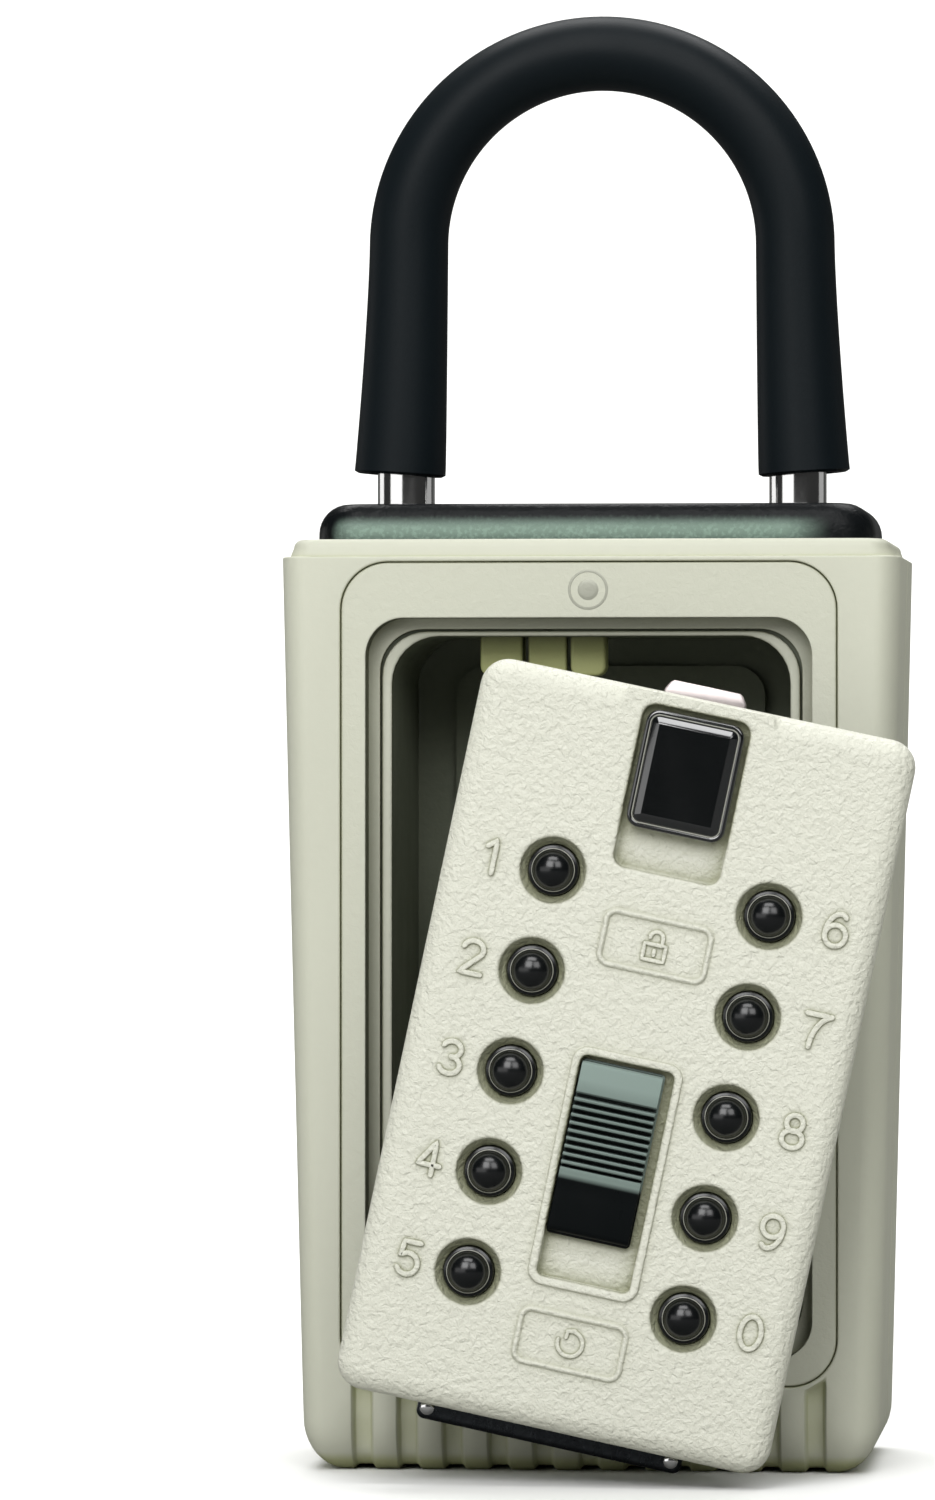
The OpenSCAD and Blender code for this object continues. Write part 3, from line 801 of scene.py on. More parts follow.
def grip_front(skin, right, parting):
    """The face's foot with its grip hollows. Each column blends the rib's path, the rolled foot and the
    flat face, with the hollow's path, which runs further in and ends higher at the foot."""
    r, face = mm("edge_radius"), mm("jacket_depth") / 2
    t = np.linspace(0, math.pi / 2, FOOT_ROWS)
    foot_z = FOOT_UP * (1 - np.cos(t))
    rise = np.linspace(0, 1, 13)[1:]
    rib_d = np.concatenate([face - r + r * np.sin(t), np.full(len(rise), face)])
    hollow_d = np.interp(foot_z, [0, 0.3, 0.7, 1.3, 2.4, FOOT_UP], np.array([r, 3.2, 2.75, 2.35, 1.7, 1.25]))
    hollow_d = np.concatenate([face - hollow_d, face - 1.2 * np.clip((1 - rise) / 0.25, 0, 1) ** 0.5])
    edge = right[:FOOT_ROWS + 1, -1, 0]
    x = grip_columns(edge[0])
    deep = grip_depth(x)[None, :]
    lifted = foot_z[:, None] + deep * np.clip(0.5 - foot_z * 0.3, 0, 0.5)[:, None]
    top = ceiling(x)
    top[[0, -1]] = GRIP_TOP
    wall_z = FOOT_UP + rise[:, None] * (top - FOOT_UP)
    z = np.concatenate([lifted, wall_z])
    d = rib_d[:, None] * (1 - deep) + hollow_d[:, None] * deep
    across = np.broadcast_to(x, z.shape).copy()
    rim = np.concatenate([edge[:FOOT_ROWS], edge[-2] + (edge[-1] - edge[-2]) * rise])
    across[:, 0], across[:, -1] = -rim, rim
    surface = np.stack([across, d, z], axis=-1)
    skin.grid(surface[:FOOT_ROWS])
    skin.grid(surface[FOOT_ROWS - 1:, 1:-1])
    for side in (0, -1):
        inner = 1 if side == 0 else -2
        upper = slice(FOOT_ROWS - 1, None)
        strip = surface[upper, inner]
        fan = np.concatenate([strip, [surface[-1, side], surface[FOOT_ROWS - 1, side]]])
        skin.put(fan, [list(range(len(fan)))])
    back = [np.stack([x, np.full(len(x), depth), np.zeros(len(x))], axis=-1)
            for depth in (face - r, parting + (face - r - parting) * 0.6, parting + 0.25, parting)]
    back[0][:, 2] = z[0]
    skin.grid(back)


class KEYBOX_OT_jacket(bpy.types.Operator):
    """Makes both halves of the plastic jacket, with the collar, the grip ribs and the screw places"""
    bl_idname = "keybox.jacket"
    bl_label = "Jacket"

    def execute(self, context):
        jacket_half(True).make("jacket_front", clay_plastic(), "body", "clay_plastic", ["front_shell"],
                               0.45, (0, 0, 50))
        jacket_half(False).make("jacket_rear", clay_plastic(), "body", "clay_plastic", ["rear_shell"],
                                1.5, (0, 0, 50))
        return {"FINISHED"}


# ---- frames round the opening, badge, tabs ----

def ring_skin(loops):
    """A closed ring: each loop joined to the next and the last to the first."""
    skin = Skin()
    skin.stack(list(loops) + [loops[0]])
    return skin


class KEYBOX_OT_frames(bpy.types.Operator):
    """Makes the front frame with its ledge, the inner frame behind it, and the plain badge"""
    bl_idname = "keybox.frames"
    bl_label = "Frames and badge"

    def execute(self, context):
        low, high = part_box("bezel")
        face, back = low[1] / MM - 0.22, high[1] / MM
        inner_at = (0, 53)
        ledge = -15.2
        outer = moulding(mm("frame_width"), mm("frame_height"), 5.2,
                         [(0.2, back), (0.0, back - 0.2), (0.0, face + 0.25)]
                         + roll((0.0, face + 0.25), (0.25, face), 4, across=False)[1:] + [(0.35, face)],
                         frame_middle(), WINDOW_STEPS)
        w, h = mm("opening_width"), mm("opening_height")
        mouth = [(-0.25, face), (-0.15, face)] + roll((-0.15, face), (0.0, face + 0.15), 5)[1:]
        step = [(-0.4, ledge), (-0.25, ledge)] + roll((-0.2, ledge), (0.0, ledge + 0.2), 3)[1:]
        inner = moulding(w, h, 4.2, mouth + [(0.0, ledge - 0.25)], inner_at, WINDOW_STEPS)
        inner += moulding(46.4, 78.5, 4.7, step + [(0.0, back)], inner_at, WINDOW_STEPS)
        ring_skin(outer + inner).make("front_frame", clay_frame(), "body", "clay_frame", ["bezel"])

        low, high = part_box("seal_frame")
        face, back = low[1] / MM, high[1] / MM
        edge = roll((0.0, face + 0.25), (0.25, face), 3, across=False)
        rim = moulding(46.0, 78.1, 5.0, [(0.0, back)] + edge, inner_at)
        rim += moulding(mm("cavity_width"), mm("cavity_height"), 5.2,
                        roll((-0.3, face), (0.0, face + 0.3), 3) + [(0.0, back)], inner_at)
        ring_skin(rim).make("inner_frame", clay_frame(), "body", "clay_frame", ["seal_frame"])

        low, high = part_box("badge")
        middle = ((low[0] + high[0]) / 2 / MM, (low[2] + high[2]) / 2 / MM)
        r, front, back = (high[0] - low[0]) / 2 / MM, low[1] / MM, high[1] / MM
        edge = roll((0.0, front + 0.2), (0.2, front), 4, across=False)[1:]
        profile = [(r, back), (r, front + 0.2)] + [(r - i, d) for i, d in edge]
        profile += [(1.95, front), (1.88, front + 0.06), (1.84, front + 0.3), (1.3, front + 0.3),
                    (1.24, front + 0.1), (1.12, front + 0.02), (0.7, front - 0.01), (0.3, front - 0.02)]
        skin = Skin()
        skin.solid(turned(profile, middle, 64))
        skin.make("badge_disc", pewter(), "body", "badge_metal", ["badge"])
        return {"FINISHED"}


def tab_skin(skin, low, high, r, soft=0.35):
    """A tab that hangs down: a rounded rectangle in front view, with rolled front edges, whose rounded
    top is hidden above it."""
    w, h = high[0] - low[0], high[2] - low[2]
    at = ((low[0] + high[0]) / 2, (low[2] + high[2]) / 2)
    edge = roll((0.0, low[1] + soft), (soft, low[1]), 4, across=False)
    skin.solid(moulding(w, h, r, [(0.0, high[1])] + edge + [(soft + 0.1, low[1])], at))


def box_mm(node):
    """Lowest and highest corner of a node of the frame, in millimetres."""
    return [np.array(corner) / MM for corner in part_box(node)]


class KEYBOX_OT_tabs(bpy.types.Operator):
    """Makes the two lugs at the top of the cavity and the release lever between them"""
    bl_idname = "keybox.tabs"
    bl_label = "Lugs and lever"

    def execute(self, context):
        low, high = box_mm("lever_guides")
        lugs = Skin()
        for x0, x1 in ((low[0], low[0] + 4.7), (high[0] - 3.9, high[0])):
            tab_skin(lugs, (x0, low[1], low[2]), (x1, high[1], high[2] + 1.0), 1.1)
        lugs.make("cavity_lugs", shaded_clay_lug(), "body", "clay_frame", ["lever_guides"])
        low, high = box_mm("release_lever")
        lever = Skin()
        tab_skin(lever, low, high, 0.6, 0.3)
        lever.make("release_tab", shaded_clay_lug(), "shackle_lock", "clay_frame", ["release_lever"])
        return {"FINISHED"}


# ---- top block and shackle ----

class KEYBOX_OT_top_block(bpy.types.Operator):
    """Makes the black cast block that the shackle's legs go into"""
    bl_idname = "keybox.top_block"
    bl_label = "Top block"

    def execute(self, context):
        low, high = box_mm("top_block")
        w, d = high[0] - low[0], high[1] - low[1]
        at = (0, (low[1] + high[1]) / 2)
        top = high[2]
        loops = [level(outline(w, d, 4.0, at), low[2]), level(outline(w, d, 4.0, at), top - 3.3)]
        for t in np.linspace(0, math.pi / 2, 9)[1:]:
            side, drop = 3.3 * (1 - math.cos(t)), 3.3 * math.sin(t)
            front = 1.7 * (1 - math.cos(t))
            loops.append(level(outline(w - 2 * side, d - 2 * front, 4.0 - front, at), top - 3.3 + drop))
        rim = outline(w - 6.9, d - 3.7, 2.2, at)
        skin = Skin()
        skin.stack(loops + [level(rim, top)])
        holes = []
        leg = mm("leg_distance")
        well = ((3.9, top), (3.75, top), (3.5, top - 0.1), (3.35, top - 0.3), (3.3, top - 0.6), (3.3, low[2]))
        for x in (-leg, leg):
            holes.append(ring(3.9, (x, 0), 48))
            skin.stack([level(ring(r, (x, 0), 48), z) for r, z in well])
        skin.flat([rim] + holes, lambda p: level(p, top))
        skin.flat([outline(w, d, 4.0, at)] + [ring(3.3, (x, 0), 48) for x in (-leg, leg)],
                  lambda p: level(p, low[2]))
        skin.make("cast_block", block_black(), "body", "cast_black", ["top_block"])
        return {"FINISHED"}


class KEYBOX_OT_shackle(bpy.types.Operator):
    """Makes the polished shackle bar with its locking necks, and the soft sleeve over it"""
    bl_idname = "keybox.shackle"
    bl_label = "Shackle and sleeve"

    def execute(self, context):
        r, leg, middle = mm("bar_radius"), mm("leg_distance"), 135.0
        seam = 112.0    # height at which a leg's foot meets the arch
        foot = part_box("shackle")[0][2] / MM
        bar = Skin()
        neck = [(r - 0.5, foot), (r - 0.15, foot + 0.12), (r, foot + 0.45), (r, 94.0), (r - 0.15, 94.15),
                (2.25, 94.2), (2.2, 94.3), (2.2, 95.9), (2.25, 96.0), (r - 0.15, 96.05), (r, 96.2)]
        for x in (leg, -leg):
            bar.stack([level(ring(size, (x, 0)), z) for size, z in neck + [(r, seam)]], first=True)
        turn = np.linspace(0, math.pi, 72)
        ring_turn = np.arange(40) * 2 * math.pi / 40
        reach = leg + r * np.cos(ring_turn)
        depth = r * np.sin(ring_turn)
        over = [np.column_stack([reach * math.cos(t), depth, middle + reach * math.sin(t)]) for t in turn]
        right_end, left_end = (level(one[:, :2], seam) for one in (over[0], over[-1]))
        bar.stack([right_end] + over + [left_end])
        bar.make("shackle_bar", polished_chrome(), "shackle", "chrome_bar", ["shackle"])

        low, high = box_mm("shackle_sleeve")
        foot, apex = low[2], high[2] - 0.3
        inner, half_circle = 17.2, 135.3
        top_r = (apex - half_circle - inner) / 2
        turn = np.linspace(0, math.pi / 2, 40)
        size = 4.4 + (top_r - 4.4) * np.sin(turn) ** 1.5
        reach = inner + size
        over = np.column_stack([reach * np.cos(turn), 0 * turn, half_circle + reach * np.sin(turn)])
        t = np.linspace(0, 1, 24)[:-1]
        inside = 17.5 - 0.3 * t ** 0.7
        outside = 27.7 - 1.7 * (1 - (1 - t) ** 1.35)
        rise = foot + (half_circle - foot) * t
        up = np.column_stack([(inside + outside) / 2, 0 * t, rise])
        path = np.concatenate([up, over, (over[:-1] * MIRROR)[::-1], (up * MIRROR)[::-1]])
        size = np.concatenate([(outside - inside) / 2, size, size[:-1][::-1], ((outside - inside) / 2)[::-1]])
        along = np.gradient(path, axis=0)
        along /= np.linalg.norm(along, axis=1)[:, None]
        side = np.cross(along, [0, 1, 0])
        turn = np.arange(48) * 2 * math.pi / 48
        loops = path[:, None] + size[:, None, None] * (np.cos(turn)[:, None] * side[:, None]
                                                       + np.sin(turn)[:, None] * np.array([0, 1.0, 0]))

        def end(loop, centre, out):
            """A rolled rim round the sleeve's end, its flat end and the first of its bore."""
            ray = loop - centre
            unit = ray / np.linalg.norm(ray, axis=1)[:, None]
            full = np.linalg.norm(ray[0])
            rims = [(full - 0.08, 0.0), (full - 0.25, 0.1), (full - 0.45, 0.2)]
            rims += [(3.9, 0.2), (3.5, 0.12), (3.26, -0.1), (3.26, -1.2)]
            return [centre + unit * a + out * (b - 0.2) for a, b in rims]

        down, raised = np.array([0, 0, -1.0]), np.array([0, 0, 0.25])
        first, last = (end(loops[i], path[i], down) for i in (0, -1))
        skin = Skin()
        skin.solid(first[::-1] + [loops[0] + raised] + list(loops[1:-1]) + [loops[-1] + raised] + last)
        skin.make("soft_sleeve", sleeve_vinyl(), "shackle", "vinyl_black", ["shackle_sleeve"])
        return {"FINISHED"}


# ---- cover ----

# Places and depths in the cover's own frame: across, up, and back from its front face.
SHELL_BACK = 3.2       # depth of the front moulding's rim
POCKET_BACK = 2.2      # depth of the pocket's floor, which the case lies against
OPEN_AT = 31.85        # height of the open button's middle
RECESS_W, RECESS_TOP, RECESS_FOOT, RECESS_FLOOR = 11.7, 38.45, 20.7, 1.5    # round the open button
WINDOW_W, WINDOW_H, WINDOW_AT, WINDOW_FLOOR = 10.2, 24.1, -11.7, 1.1        # round the clear slider
WINDOW_X = 0.45        # how far right of the middle the slider's window lies
LABEL_W, LABEL_H = 12.2, 6.5
LABEL_PLACES = ((0.6, 13.2), (0.5, -30.2))
LEFT_DIGITS, RIGHT_DIGITS = -18.3, 19.1
TOP_BUTTON = 18.85     # height of the first button in each column
BOLT_FRONT = 4.6       # depth of the front of the bolt and of the hook bar


def button_places():
    """Button digit and its place on the cover: 1 to 5 down the left, 6 to 9 and 0 down the right."""
    column, pitch = mm("column_distance"), mm("row_pitch")
    return [((i + 1) % 10, -column if i < 5 else column, TOP_BUTTON - pitch * (i % 5)) for i in range(10)]


def cover_loops(profile):
    """The cover's outline carried along a profile. Over the open button the rolled edge is squared up:
    there the inset shrinks to a tenth through a smooth step, so the flat face runs out to the end."""
    w, h, r = mm("cover_width"), mm("cover_height"), 3.0
    x = np.array([9.3, 9.0, 8.7, 8.4, 8.1, 7.8, 7.5, 7.2])
    x = np.concatenate([x, -x[::-1]])
    t = np.clip((np.abs(x) - 7.5) / 1.3, 0, 1)
    share = 0.1 + 0.9 * t * t * (3 - 2 * t)
    loops = []
    for inset, depth in profile:
        o = outline(w - 2 * inset, h - 2 * inset, max(r - inset, 0.05))
        land = np.column_stack([x, h / 2 - inset * share])
        loops.append(facing(np.concatenate([o[:9], land, o[9:]]), depth))
    return loops


def cover_skin():
    """The cover's moulded front. One flat sheet has every hole's outline in it, and loops run from
    each outline down its own walls. The back closes it round the case."""
    hole = mm("cap_radius") + 0.1
    edge = cover_loops([(2.75, 0.0), (2.6, 0.0)] + roll((2.5, 0.0), (0.0, 2.0), 10)[1:]
                       + [(0.0, SHELL_BACK - 0.2), (0.2, SHELL_BACK), (0.4, SHELL_BACK)])
    skin = Skin(on_cover)
    skin.stack(edge)
    pocket = moulding(42.6, 75.8, 2.3, [(-0.2, SHELL_BACK), (0.0, SHELL_BACK), (0.0, POCKET_BACK)])
    skin.flat([front_view(edge[-1]), front_view(pocket[0])], lambda p: facing(p, SHELL_BACK))
    skin.stack(pocket)
    front, back = [front_view(edge[0])], [front_view(pocket[-1])]

    def sink(loops, through=True):
        skin.stack(loops)
        front.append(front_view(loops[0]))
        if through:
            back.append(front_view(loops[-1]))

    for _digit, x, z in button_places():
        lip = [(4.0, 0.0), (3.92, 0.0)] + [(3.9 - i, d) for i, d in roll((0.0, 0.0), (0.4, 0.35), 4)[1:]]
        sink(turned(lip + [(2.95, 1.2), (hole, 1.35), (hole, POCKET_BACK)], (x, z), 40))

    def slot_in_floor(wall, size, at, floor):
        """A floor with a neck slot through it."""
        slot = moulding(*size, [(0.0, floor), (0.0, POCKET_BACK)], at)
        skin.flat([front_view(wall[-1]), front_view(slot[0])], lambda p: facing(p, floor))
        skin.stack(slot)
        back.append(front_view(slot[-1]))

    at = (0, (RECESS_TOP + RECESS_FOOT) / 2)
    wall = moulding(RECESS_W, RECESS_TOP - RECESS_FOOT, 1.4,
                    [(-0.5, 0.0), (-0.4, 0.0)] + roll((-0.35, 0.0), (0.0, 0.35), 4)[1:]
                    + [(0.0, RECESS_FLOOR - 0.25)] + roll((0.0, RECESS_FLOOR - 0.25), (0.25, RECESS_FLOOR), 3,
                                                          across=False)[1:] + [(0.35, RECESS_FLOOR)], at)
    sink(wall, through=False)
    slot_in_floor(wall, (5.4, 9.5, 0.5), (0, 31.35), RECESS_FLOOR)

    at = (WINDOW_X, WINDOW_AT)
    raised = 0.35
    border = [(-1.2, 0.0), (-1.1, 0.0)] + roll((-1.1, 0.0), (-0.9, -0.16), 3)[1:]
    border += roll((-0.9, -0.16), (-0.65, -raised), 4, across=False)[1:] + [(-0.55, -raised), (-0.4, -raised)]
    border += roll((-0.35, -raised), (0.0, -raised + 0.35), 4)[1:]
    border += [(0.0, WINDOW_FLOOR - 0.1), (0.1, WINDOW_FLOOR), (0.25, WINDOW_FLOOR)]
    wall = moulding(WINDOW_W, WINDOW_H, 0.8, border, at)
    sink(wall, through=False)
    slot_in_floor(wall, (4.4, 10.8, 0.5), (0, -11.3), WINDOW_FLOOR)

    for place in LABEL_PLACES:
        bead = [(-0.12, 0.0), (0.0, 0.0), (0.08, -0.08), (0.2, -0.26), (0.33, -0.33), (0.45, -0.33),
                (0.58, -0.26), (0.7, -0.08), (0.78, 0.02), (0.9, 0.04), (1.0, 0.04)]
        loops = moulding(LABEL_W, LABEL_H, 1.5, bead, place)
        sink(loops, through=False)
        skin.flat([front_view(loops[-1])], lambda p: facing(p, 0.04))
    skin.flat(front, lambda p: facing(p, 0.0))
    skin.flat(back, lambda p: facing(p, POCKET_BACK))
    return skin


def arc(x, z, rx, rz, start, end, steps=20):
    """Points along part of an ellipse, from one angle to another."""
    t = np.radians(np.linspace(start, end, steps))
    return np.column_stack([x + rx * np.cos(t), z + rz * np.sin(t)])


def line(*points):
    """Points every quarter of a millimetre or so along straight lines."""
    points = np.array(points, float)
    runs = [np.linspace(a, b, max(2, int(np.hypot(*(b - a)) / 0.3)))[:-1]
            for a, b in zip(points, points[1:])]
    return np.concatenate(runs + [points[-1:]])


def digit_strokes():
    """The strokes of each numeral, 3.5 mm between the middles of its top and foot."""
    six = [arc(0.0, -0.62, 1.12, 1.13, 0, 360, 33),
           np.concatenate([arc(0.35, -0.45, 1.47, 2.2, 180, 92, 14), arc(0.3, 1.05, 0.62, 0.7, 88, 35, 6)])]
    return {
        0: [arc(0, 0, 1.12, 1.75, 0, 360, 41)],
        1: [line((-0.75, 1.05), (0.1, 1.75), (0.1, -1.75))],
        2: [np.concatenate([arc(0, 0.8, 1.08, 0.95, 165, -30, 16),
                            line((0.72, 0.1), (-1.1, -1.75), (1.15, -1.75))])],
        3: [arc(-0.05, 0.88, 0.98, 0.87, 155, -80, 18), arc(-0.05, -0.82, 1.12, 0.93, 85, -155, 20)],
        4: [line((0.45, -1.75), (0.45, 1.75), (-1.15, -0.75), (1.15, -0.75))],
        5: [np.concatenate([line((1.0, 1.75), (-0.72, 1.75), (-0.9, 0.1)),
                            arc(-0.05, -0.6, 1.12, 1.15, 132, -150, 22)])],
        6: six,
        7: [line((-1.1, 1.75), (1.1, 1.75)), arc(2.1, -1.75, 2.45, 3.6, 104, 180, 14)],
        8: [arc(0, 0.88, 0.88, 0.87, 0, 360, 29), arc(0, -0.82, 1.1, 0.93, 0, 360, 33)],
        9: [-s for s in six],
    }


def bead(sides=16):
    """Across and depth of a bead's outline: the cosine and sine of an angle, each drawn out to its
    square root so that the top is flat and the sides are steep."""
    turn = (np.arange(sides) + 0.5) * 2 * math.pi / sides
    across, depth = np.cos(turn), np.sin(turn)
    return np.sign(across) * np.abs(across) ** 0.55, np.sign(depth) * np.abs(depth) ** 0.5


def stroke(skin, points, at, r, depth, lift):
    """A flat-topped bead along a stroke, standing proud of the face by the lift. Its width falls away
    as a half circle at both ends."""
    path = np.asarray(points, float) + at
    closed = np.hypot(*(path[0] - path[-1])) < 1e-6
    if closed:
        path = path[:-1]
        along = np.roll(path, -1, axis=0) - np.roll(path, 1, axis=0)
        widths = np.full(len(path), r)
    else:
        start, end = path[0] - path[1], path[-1] - path[-2]
        start, end = start / np.hypot(*start), end / np.hypot(*end)
        t = np.radians([80, 60, 35])[:, None]
        path = np.concatenate([path[0] + start * r * np.sin(t), path, path[-1] + end * r * np.sin(t[::-1])])
        along = np.gradient(path, axis=0)
        widths = np.full(len(path), r)
        widths[:3] = r * np.cos(t[:, 0])
        widths[-3:] = widths[:3][::-1]
    along /= np.hypot(*along.T)[:, None]
    across, down = bead()
    beside = np.stack([-along[:, 1], along[:, 0]], axis=-1)
    flat = path[:, None] + (widths[:, None] * across)[:, :, None] * beside[:, None]
    depths = np.broadcast_to(depth + down * lift, flat.shape[:2])
    loops = np.stack([flat[..., 0], depths, flat[..., 1]], axis=-1)
    if closed:
        skin.stack(list(loops) + [loops[0]])
    else:
        skin.solid(loops)


def mark_strokes():
    """An opened padlock for the upper plaque and a turn-back arrow for the lower one."""
    lock = [line((-1.15, 0.15), (1.15, 0.15), (1.15, -1.55), (-1.15, -1.55), (-1.15, 0.15)),
            np.concatenate([line((0.7, 0.15), (0.7, 0.85)), arc(0.0, 0.85, 0.7, 0.7, 0, 180, 12)]),
            line((0, -0.5), (0, -0.95))]
    back = [arc(0, 0, 1.35, 1.35, 110, -190, 30), line((-0.55, 0.62), (-0.45, 1.3), (0.25, 1.45))]
    return [lock, back]


class KEYBOX_OT_cover(bpy.types.Operator):
    """Makes the cover's moulded front, its numerals and the two plain marks on its plaques"""
    bl_idname = "keybox.cover"
    bl_label = "Cover front"

    def execute(self, context):
        cover_skin().make("cover_front", cover_paint(), "cover", "clay_cover", ["cover_shell"])
        numerals = Skin(on_cover)
        strokes = digit_strokes()
        for digit, x, z in button_places():
            place = (LEFT_DIGITS if x < 0 else RIGHT_DIGITS, z + 0.1)
            for turn, one in enumerate(strokes[digit]):
                stroke(numerals, one, place, 0.31, 0.0, 0.32 - 0.02 * turn)
        numerals.make("cover_digits", cover_paint(), "cover", "clay_cover")
        marks = Skin(on_cover)
        for place, mark in zip(LABEL_PLACES, mark_strokes()):
            for turn, one in enumerate(mark):
                stroke(marks, one, place, 0.24, 0.04, 0.26 - 0.02 * turn)
        marks.make("cover_marks", cover_paint(), "cover", "clay_cover")
        return {"FINISHED"}


# ---- buttons ----

class KEYBOX_OT_buttons(bpy.types.Operator):
    """Makes the ten domed digit buttons"""
    bl_idname = "keybox.buttons"
    bl_label = "Digit buttons"

    def execute(self, context):
        cap = mm("cap_radius")
        t = np.linspace(0, math.pi / 2, 12)[:-1]
        dome = [(2.12 * math.cos(a), 0.1 - 1.6 * math.sin(a)) for a in t]
        profile = [(1.1, 4.85), (1.1, 4.3), (3.2, 4.3), (3.2, 3.55), (cap, 3.5), (cap, 0.85),
                   (cap - 0.08, 0.66), (cap - 0.25, 0.58), (2.36, 0.56), (2.3, 0.5), (2.27, 0.32),
                   (2.22, 0.2), (2.16, 0.16)]
        for digit, x, z in button_places():
            skin = Skin(on_cover)
            skin.solid(turned(profile + dome + [(0.1, -1.5)], (x, z), 48))
            skin.make(f"cap_{digit}", gloss_black(), f"button_{digit}", "gloss_black", [f"button_{digit}"])
            # Painted highlight: a light grey wire round the dome's foot stands in for the thin glint ring on
            # its edge.
            rim = Skin(on_cover)
            rim.stack(turned(round_wire(2.27, 0.33), (x, z), 48))
            rim.make(f"cap_highlight_rim_{digit}", painted_highlight_grey(), f"button_{digit}", "gloss_black")
        return {"FINISHED"}


class KEYBOX_OT_open_button(bpy.types.Operator):
    """Makes the glossy open button with its inset groove and a grey wire in it as a painted highlight line,
    and the bolt that it draws
    """
    bl_idname = "keybox.open_button"
    bl_label = "Open button and bolt"

    def execute(self, context):
        skin = Skin(on_cover)
        w, h, middle = 10.7, 12.8, (0, OPEN_AT - 0.25)
        profile = [(0.3, 1.4), (0.0, 1.2), (0.0, -0.1)] + roll((0.0, -0.1), (0.3, -0.4), 4, across=False)[1:]
        profile += [(0.42, -0.4), (0.5, -0.34), (0.62, -0.34), (0.68, -0.4), (0.74, -0.48), (0.8, -0.52),
                    (1.38, -0.82), (1.46, -0.85), (1.6, -0.85)]
        skin.solid(moulding(w, h, 1.5, profile, middle))
        skin.solid(moulding(5.0, 4.6, 0.3, [(0.0, 1.3), (0.0, 4.6)], (0, 33.5)))
        skin.make("open_cap", gloss_cap(), "open_slide", "gloss_black", ["open_button"])
        # Painted highlight: a light grey wire in the groove round the cap's bevel stands in for its thin
        # glint line.
        rim = Skin(on_cover)
        rim.stack(moulding(w, h, 1.5, round_wire(0.56, -0.36), middle))
        rim.make("open_cap_rim", painted_highlight_grey(), "open_slide", "gloss_black")

        bolt = Skin(on_cover)
        front, back = BOLT_FRONT, 6.2
        tip = np.array([[-4.5, 36.0], [4.5, 36.0], [4.5, 39.9], [4.42, 40.35], [3.95, 41.1], [3.6, 41.35],
                        [-3.6, 41.35], [-3.95, 41.1], [-4.42, 40.35], [-4.5, 39.9]])

        def shrunk(inset, depth, slant=0.0):
            """The bolt's outline moved in by an inset, its tip lowered by a slant."""
            p = tip.copy()
            p[:, 0] -= np.sign(p[:, 0]) * inset
            p[2:, 1] -= inset + slant * np.clip((p[2:, 1] - 39.5) / 1.8, 0, 1)
            return facing(p, depth)

        bolt.solid([shrunk(0.12, front), shrunk(0.0, front + 0.12), shrunk(0.0, back - 0.75),
                    shrunk(0.02, back - 0.65, 0.03), shrunk(0.05, back, 0.8)])
        plate = [(0.1, front), (0.0, front + 0.1), (0.0, back - 0.1), (0.1, back)]
        bolt.solid(moulding(12.4, 10.4, 0.6, plate, (0, 30.7)))
        bolt.make("bolt_plate", satin_chrome(), "open_slide", "chrome_bolt", ["latch_bolt"])
        return {"FINISHED"}


def slider_finish():
    """The clear slider's finish: a light head that darkens down its length, worked out from the
    height along the cover."""
    made = finish("slider plastic", colours().slider_light, polished=0.25, dull=0.4, smears=300.0,
                  pebbles=2500.0, tooth=8000.0, depth=0.000006, Specular_IOR_Level=0.08)
    tree = made.node_tree
    low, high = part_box("clear_slider")
    offset = grow(tree, "ShaderNodeVectorMath", operation="SUBTRACT")
    tree.links.new(object_place(tree), offset.inputs[0])
    offset.inputs[1].default_value = tuple((low + high) / 2)
    along = grow(tree, "ShaderNodeVectorMath", operation="DOT_PRODUCT")
    tree.links.new(offset.outputs[0], along.inputs[0])
    along.inputs[1].default_value = (math.sin(sizes().cover_turn), 0.0, math.cos(sizes().cover_turn))
    ramp = grow(tree, "ShaderNodeValToRGB", Fac=span(tree, along.outputs["Value"], -0.0095, 0.0095))
    light, dark = tuple(colours().slider_light), tuple(colours().slider_dark)
    stops = ramp.color_ramp.elements
    stops[0].position, stops[0].color = 0.33, dark
    stops[1].position, stops[1].color = 1.0, light
    for share, colour in ((0.36, shade(light, 0.85)), (0.6, shade(light, 0.8)), (0.82, shade(light, 0.75)),
                          (0.9, light)):
        stops.new(share).color = colour
    # Painted shade: the gaps between the ribs turn to the dark foot colour.
    grooved = use_group(tree, "Crevice Shade", Colour=ramp.outputs["Color"], Crevice_Colour=dark,
                        Reach=0.0007, Amount=1.0)
    tree.links.new(grooved.outputs["Colour"], base_colour(made))
    return made


